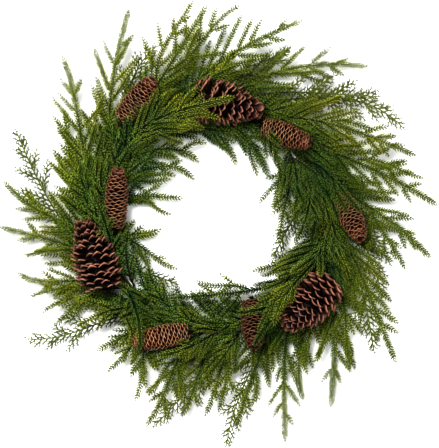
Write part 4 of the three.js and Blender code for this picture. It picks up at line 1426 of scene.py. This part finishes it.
def twig_bark():
    """The moulded stems: near black deep in the wreath, a painted shade; brown-green, greener towards
    new growth and where painted as lit in the open and on top.
    """
    paint = Paint("twig_bark", 0.6, Specular_IOR_Level=0.14)
    # Painted shade near black deep in the wreath, up to painted light, greener, in the open and on top.
    color = paint.ramp(paint.number("young"), (0.0, (0.010, 0.008, 0.003)),
                       (0.35, (0.016, 0.026, 0.004)), (1.0, (0.080, 0.115, 0.012)))
    mottle = paint.ramp(paint.noise(160.0), (0.35, (0.65, 0.62, 0.58)), (0.65, (1.2, 1.15, 1.05)))
    paint.color(paint.tinted(color, mottle))
    paint.bump(paint.noise(700.0), 0.4, 0.0005)
    return paint.material


def cedar_olive():
    """Flat scale leaves: dull olive, paler where each scale ends, on new growth and where painted as lit
    in the open and on top, and darker on limbs painted as shaded deep in the body.
    """
    paint = Paint("cedar_olive", 0.6, Specular_IOR_Level=0.14)
    old = paint.ramp(paint.number("along"), (0.0, (0.008, 0.015, 0.003)), (1.0, (0.036, 0.056, 0.010)))
    new = paint.ramp(paint.number("along"), (0.0, (0.024, 0.034, 0.006)), (1.0, (0.105, 0.125, 0.024)))
    # Painted light: the new colours also stand where growth is painted as lit; the tone darkens limbs
    # painted as shaded deep in the body.
    color = paint.blend(paint.number("young"), old, new)
    dull = paint.blend(paint.number("tone"), (0.75, 0.80, 0.80), (1.25, 1.15, 0.95))
    patches = paint.ramp(paint.noise(25.0, 2.0), (0.35, (0.85, 0.85, 0.80)), (0.65, (1.15, 1.10, 1.0)))
    paint.color(paint.tinted(paint.tinted(color, dull), patches))
    paint.rough(500.0, 0.5, 0.7)
    paint.bump(paint.noise(1100.0, 2.0), 0.35, 0.0004)
    return paint.material


def cone_wood(name, stops, deep, body, lip):
    """Dry scales: near black at their roots, a painted shade between the scales; brown on their faces;
    paler along the lips, partly their own colour and partly a painted highlight.
    """
    paint = Paint(name, 0.6, Specular_IOR_Level=0.22)
    # Painted shade: the root and the deep colour are darkened as shade between the scales; the lip
    # colour carries a painted highlight.
    root = tuple(c * 0.6 for c in deep)
    face = paint.ramp(paint.number("along"), (0.0, root), (stops[0], deep), (stops[1], body), (1.0, lip))
    streak = paint.ramp(paint.noise(240.0, 5.0), (0.36, (0.55, 0.50, 0.48)), (0.64, (1.28, 1.22, 1.18)))
    dull = paint.blend(paint.number("tone"), (0.45, 0.42, 0.40), (1.55, 1.50, 1.44))
    paint.color(paint.tinted(paint.tinted(face, streak, 0.85), dull))
    paint.rough(320.0, 0.45, 0.75)
    paint.bump(paint.noise(520.0, 6.0), 0.6, 0.0008)
    return paint.material


def large_cone_brown():
    return cone_wood("large_cone_brown", (0.5, 0.84),
                     (0.014, 0.005, 0.004), (0.074, 0.029, 0.020), (0.235, 0.124, 0.090))


def slim_cone_brown():
    return cone_wood("slim_cone_brown", (0.42, 0.94),
                     (0.008, 0.002, 0.001), (0.066, 0.019, 0.008), (0.380, 0.235, 0.138))


def wound_tape():
    """Crepe tape: brown-green, with painted shade that darkens the low step in the laps of its turns."""
    paint = Paint("wound_tape", 0.85)
    # Painted shade: darkest at the low step where one turn laps the next.
    color = paint.ramp(paint.number("along"), (0.0, (0.020, 0.018, 0.008)),
                       (0.35, (0.060, 0.050, 0.022)), (1.0, (0.085, 0.072, 0.032)))
    crepe = paint.ramp(paint.noise(380.0, 5.0), (0.35, (0.7, 0.7, 0.66)), (0.65, (1.2, 1.2, 1.1)))
    paint.color(paint.tinted(color, crepe))
    paint.bump(paint.noise(600.0, 4.0), 0.7, 0.0006)
    return paint.material


def pale_floor():
    paint = Paint("pale_floor", 0.9)
    paint.color(paint.ramp(paint.noise(1.5), (0.3, (0.90, 0.90, 0.90)), (0.7, (0.93, 0.93, 0.93))))
    return paint.material


# ---- Floor, light and camera, in metres ----
FLOOR_REACH = 6
SKY_STRENGTH = 0.44
SOFTBOXES = (
    ("key_light", (-0.45, 0.6, 2.3), 0.8, 84),
    ("fill_light", (1.0, -0.6, 2.3), 1.6, 16),
)
VIEW_CENTRE = (0.0025, 0.0, 0.040)
VIEW_HIGH = 0.6227
CAMERA_UP = 2.6
SENSOR = 36.0


def lay_floor():
    mesh = bpy.data.meshes.new("floor")
    corners = [(x * FLOOR_REACH, y * FLOOR_REACH, 0) for x, y in ((-1, -1), (1, -1), (1, 1), (-1, 1))]
    mesh.from_pydata(corners, [], [(0, 1, 2, 3)])
    floor = bpy.data.objects.new("floor", mesh)
    bpy.context.collection.objects.link(floor)
    mesh.materials.append(pale_floor())


def add_softbox(name, place, size, watts):
    """A round soft light that is turned to the wreath."""
    light = bpy.data.lights.new(name, "AREA")
    light.shape = "DISK"
    light.size = size
    light.energy = watts
    box = bpy.data.objects.new(name, light)
    box.location = place
    box.rotation_mode = "QUATERNION"
    box.rotation_quaternion = Vector(-np.array(place)).to_track_quat("-Z", "Y")
    bpy.context.collection.objects.link(box)


def light_studio():
    """An even white sky, two soft lights and the contrast of the photo."""
    world = bpy.data.worlds.new("studio")
    world.use_nodes = True
    sky = world.node_tree.nodes["Background"]
    sky.inputs["Color"].default_value = (1.0, 1.0, 1.0, 1)
    sky.inputs["Strength"].default_value = SKY_STRENGTH
    bpy.context.scene.world = world
    for softbox in SOFTBOXES:
        add_softbox(*softbox)
    bpy.context.scene.view_settings.view_transform = "Standard"
    bpy.context.scene.view_settings.look = "High Contrast"


def place_camera():
    """Straight above the wreath, as the photo is taken."""
    camera = bpy.data.cameras.new("camera")
    camera.sensor_width = SENSOR
    camera.lens = SENSOR * (CAMERA_UP - VIEW_CENTRE[2]) / VIEW_HIGH
    holder = bpy.data.objects.new("camera", camera)
    holder.location = (VIEW_CENTRE[0], VIEW_CENTRE[1], CAMERA_UP)
    bpy.context.collection.objects.link(holder)
    bpy.context.scene.camera = holder


# ---- The scene ----
SEED = 11
QUARTERS = 4


def dress(mesh, name, materials):
    """Puts a finer piece in the place of its CAD node."""
    piece = mesh.object(name, materials)
    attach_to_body(piece, "root")
    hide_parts(name.removeprefix("fine_"))


def build():
    """Grows the wreath, fills it out and makes a piece of each spray, cone and quarter of the tufts."""
    cones, sprays = grow_wreath()
    draws = np.random.default_rng(SEED)
    for spray in sprays:
        if spray.form is PINE:
            fill_out(spray, cones, draws)
    tufts = crossing_stems(cones, draws) + ring_tufts(cones, draws)
    for spray in sprays + tufts:
        settle_growth(spray, draws)

    bark, green, olive = twig_bark(), needle_green(), cedar_olive()
    for spray in sprays:
        mesh = Mesh()
        if spray.form is PINE:
            add_pine(mesh, spray, draws)
            dress(mesh, "fine_" + spray.name, [bark, green])
        else:
            add_cedar(mesh, spray, draws)
            dress(mesh, "fine_" + spray.name, [bark, olive])
    for quarter in range(QUARTERS):
        mesh = Mesh()
        for tuft in tufts[quarter::QUARTERS]:
            add_pine(mesh, tuft, draws)
        piece = mesh.object(f"ring_tufts_{quarter + 1}", [bark, green])
        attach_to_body(piece, "root")

    red_brown, tan_brown = large_cone_brown(), slim_cone_brown()
    for cone in cones:
        wood = red_brown if cone.form is LARGE_CONE else tan_brown
        mesh = cone_piece(cone, CONE_SHADES.get(cone.name, CONE_SHADE), draws)
        dress(mesh, "fine_" + cone.name, [bark, wood])
    dress(ring_piece(), "fine_ring_frame", [wound_tape()])


build()
lay_floor()
light_studio()
place_camera()
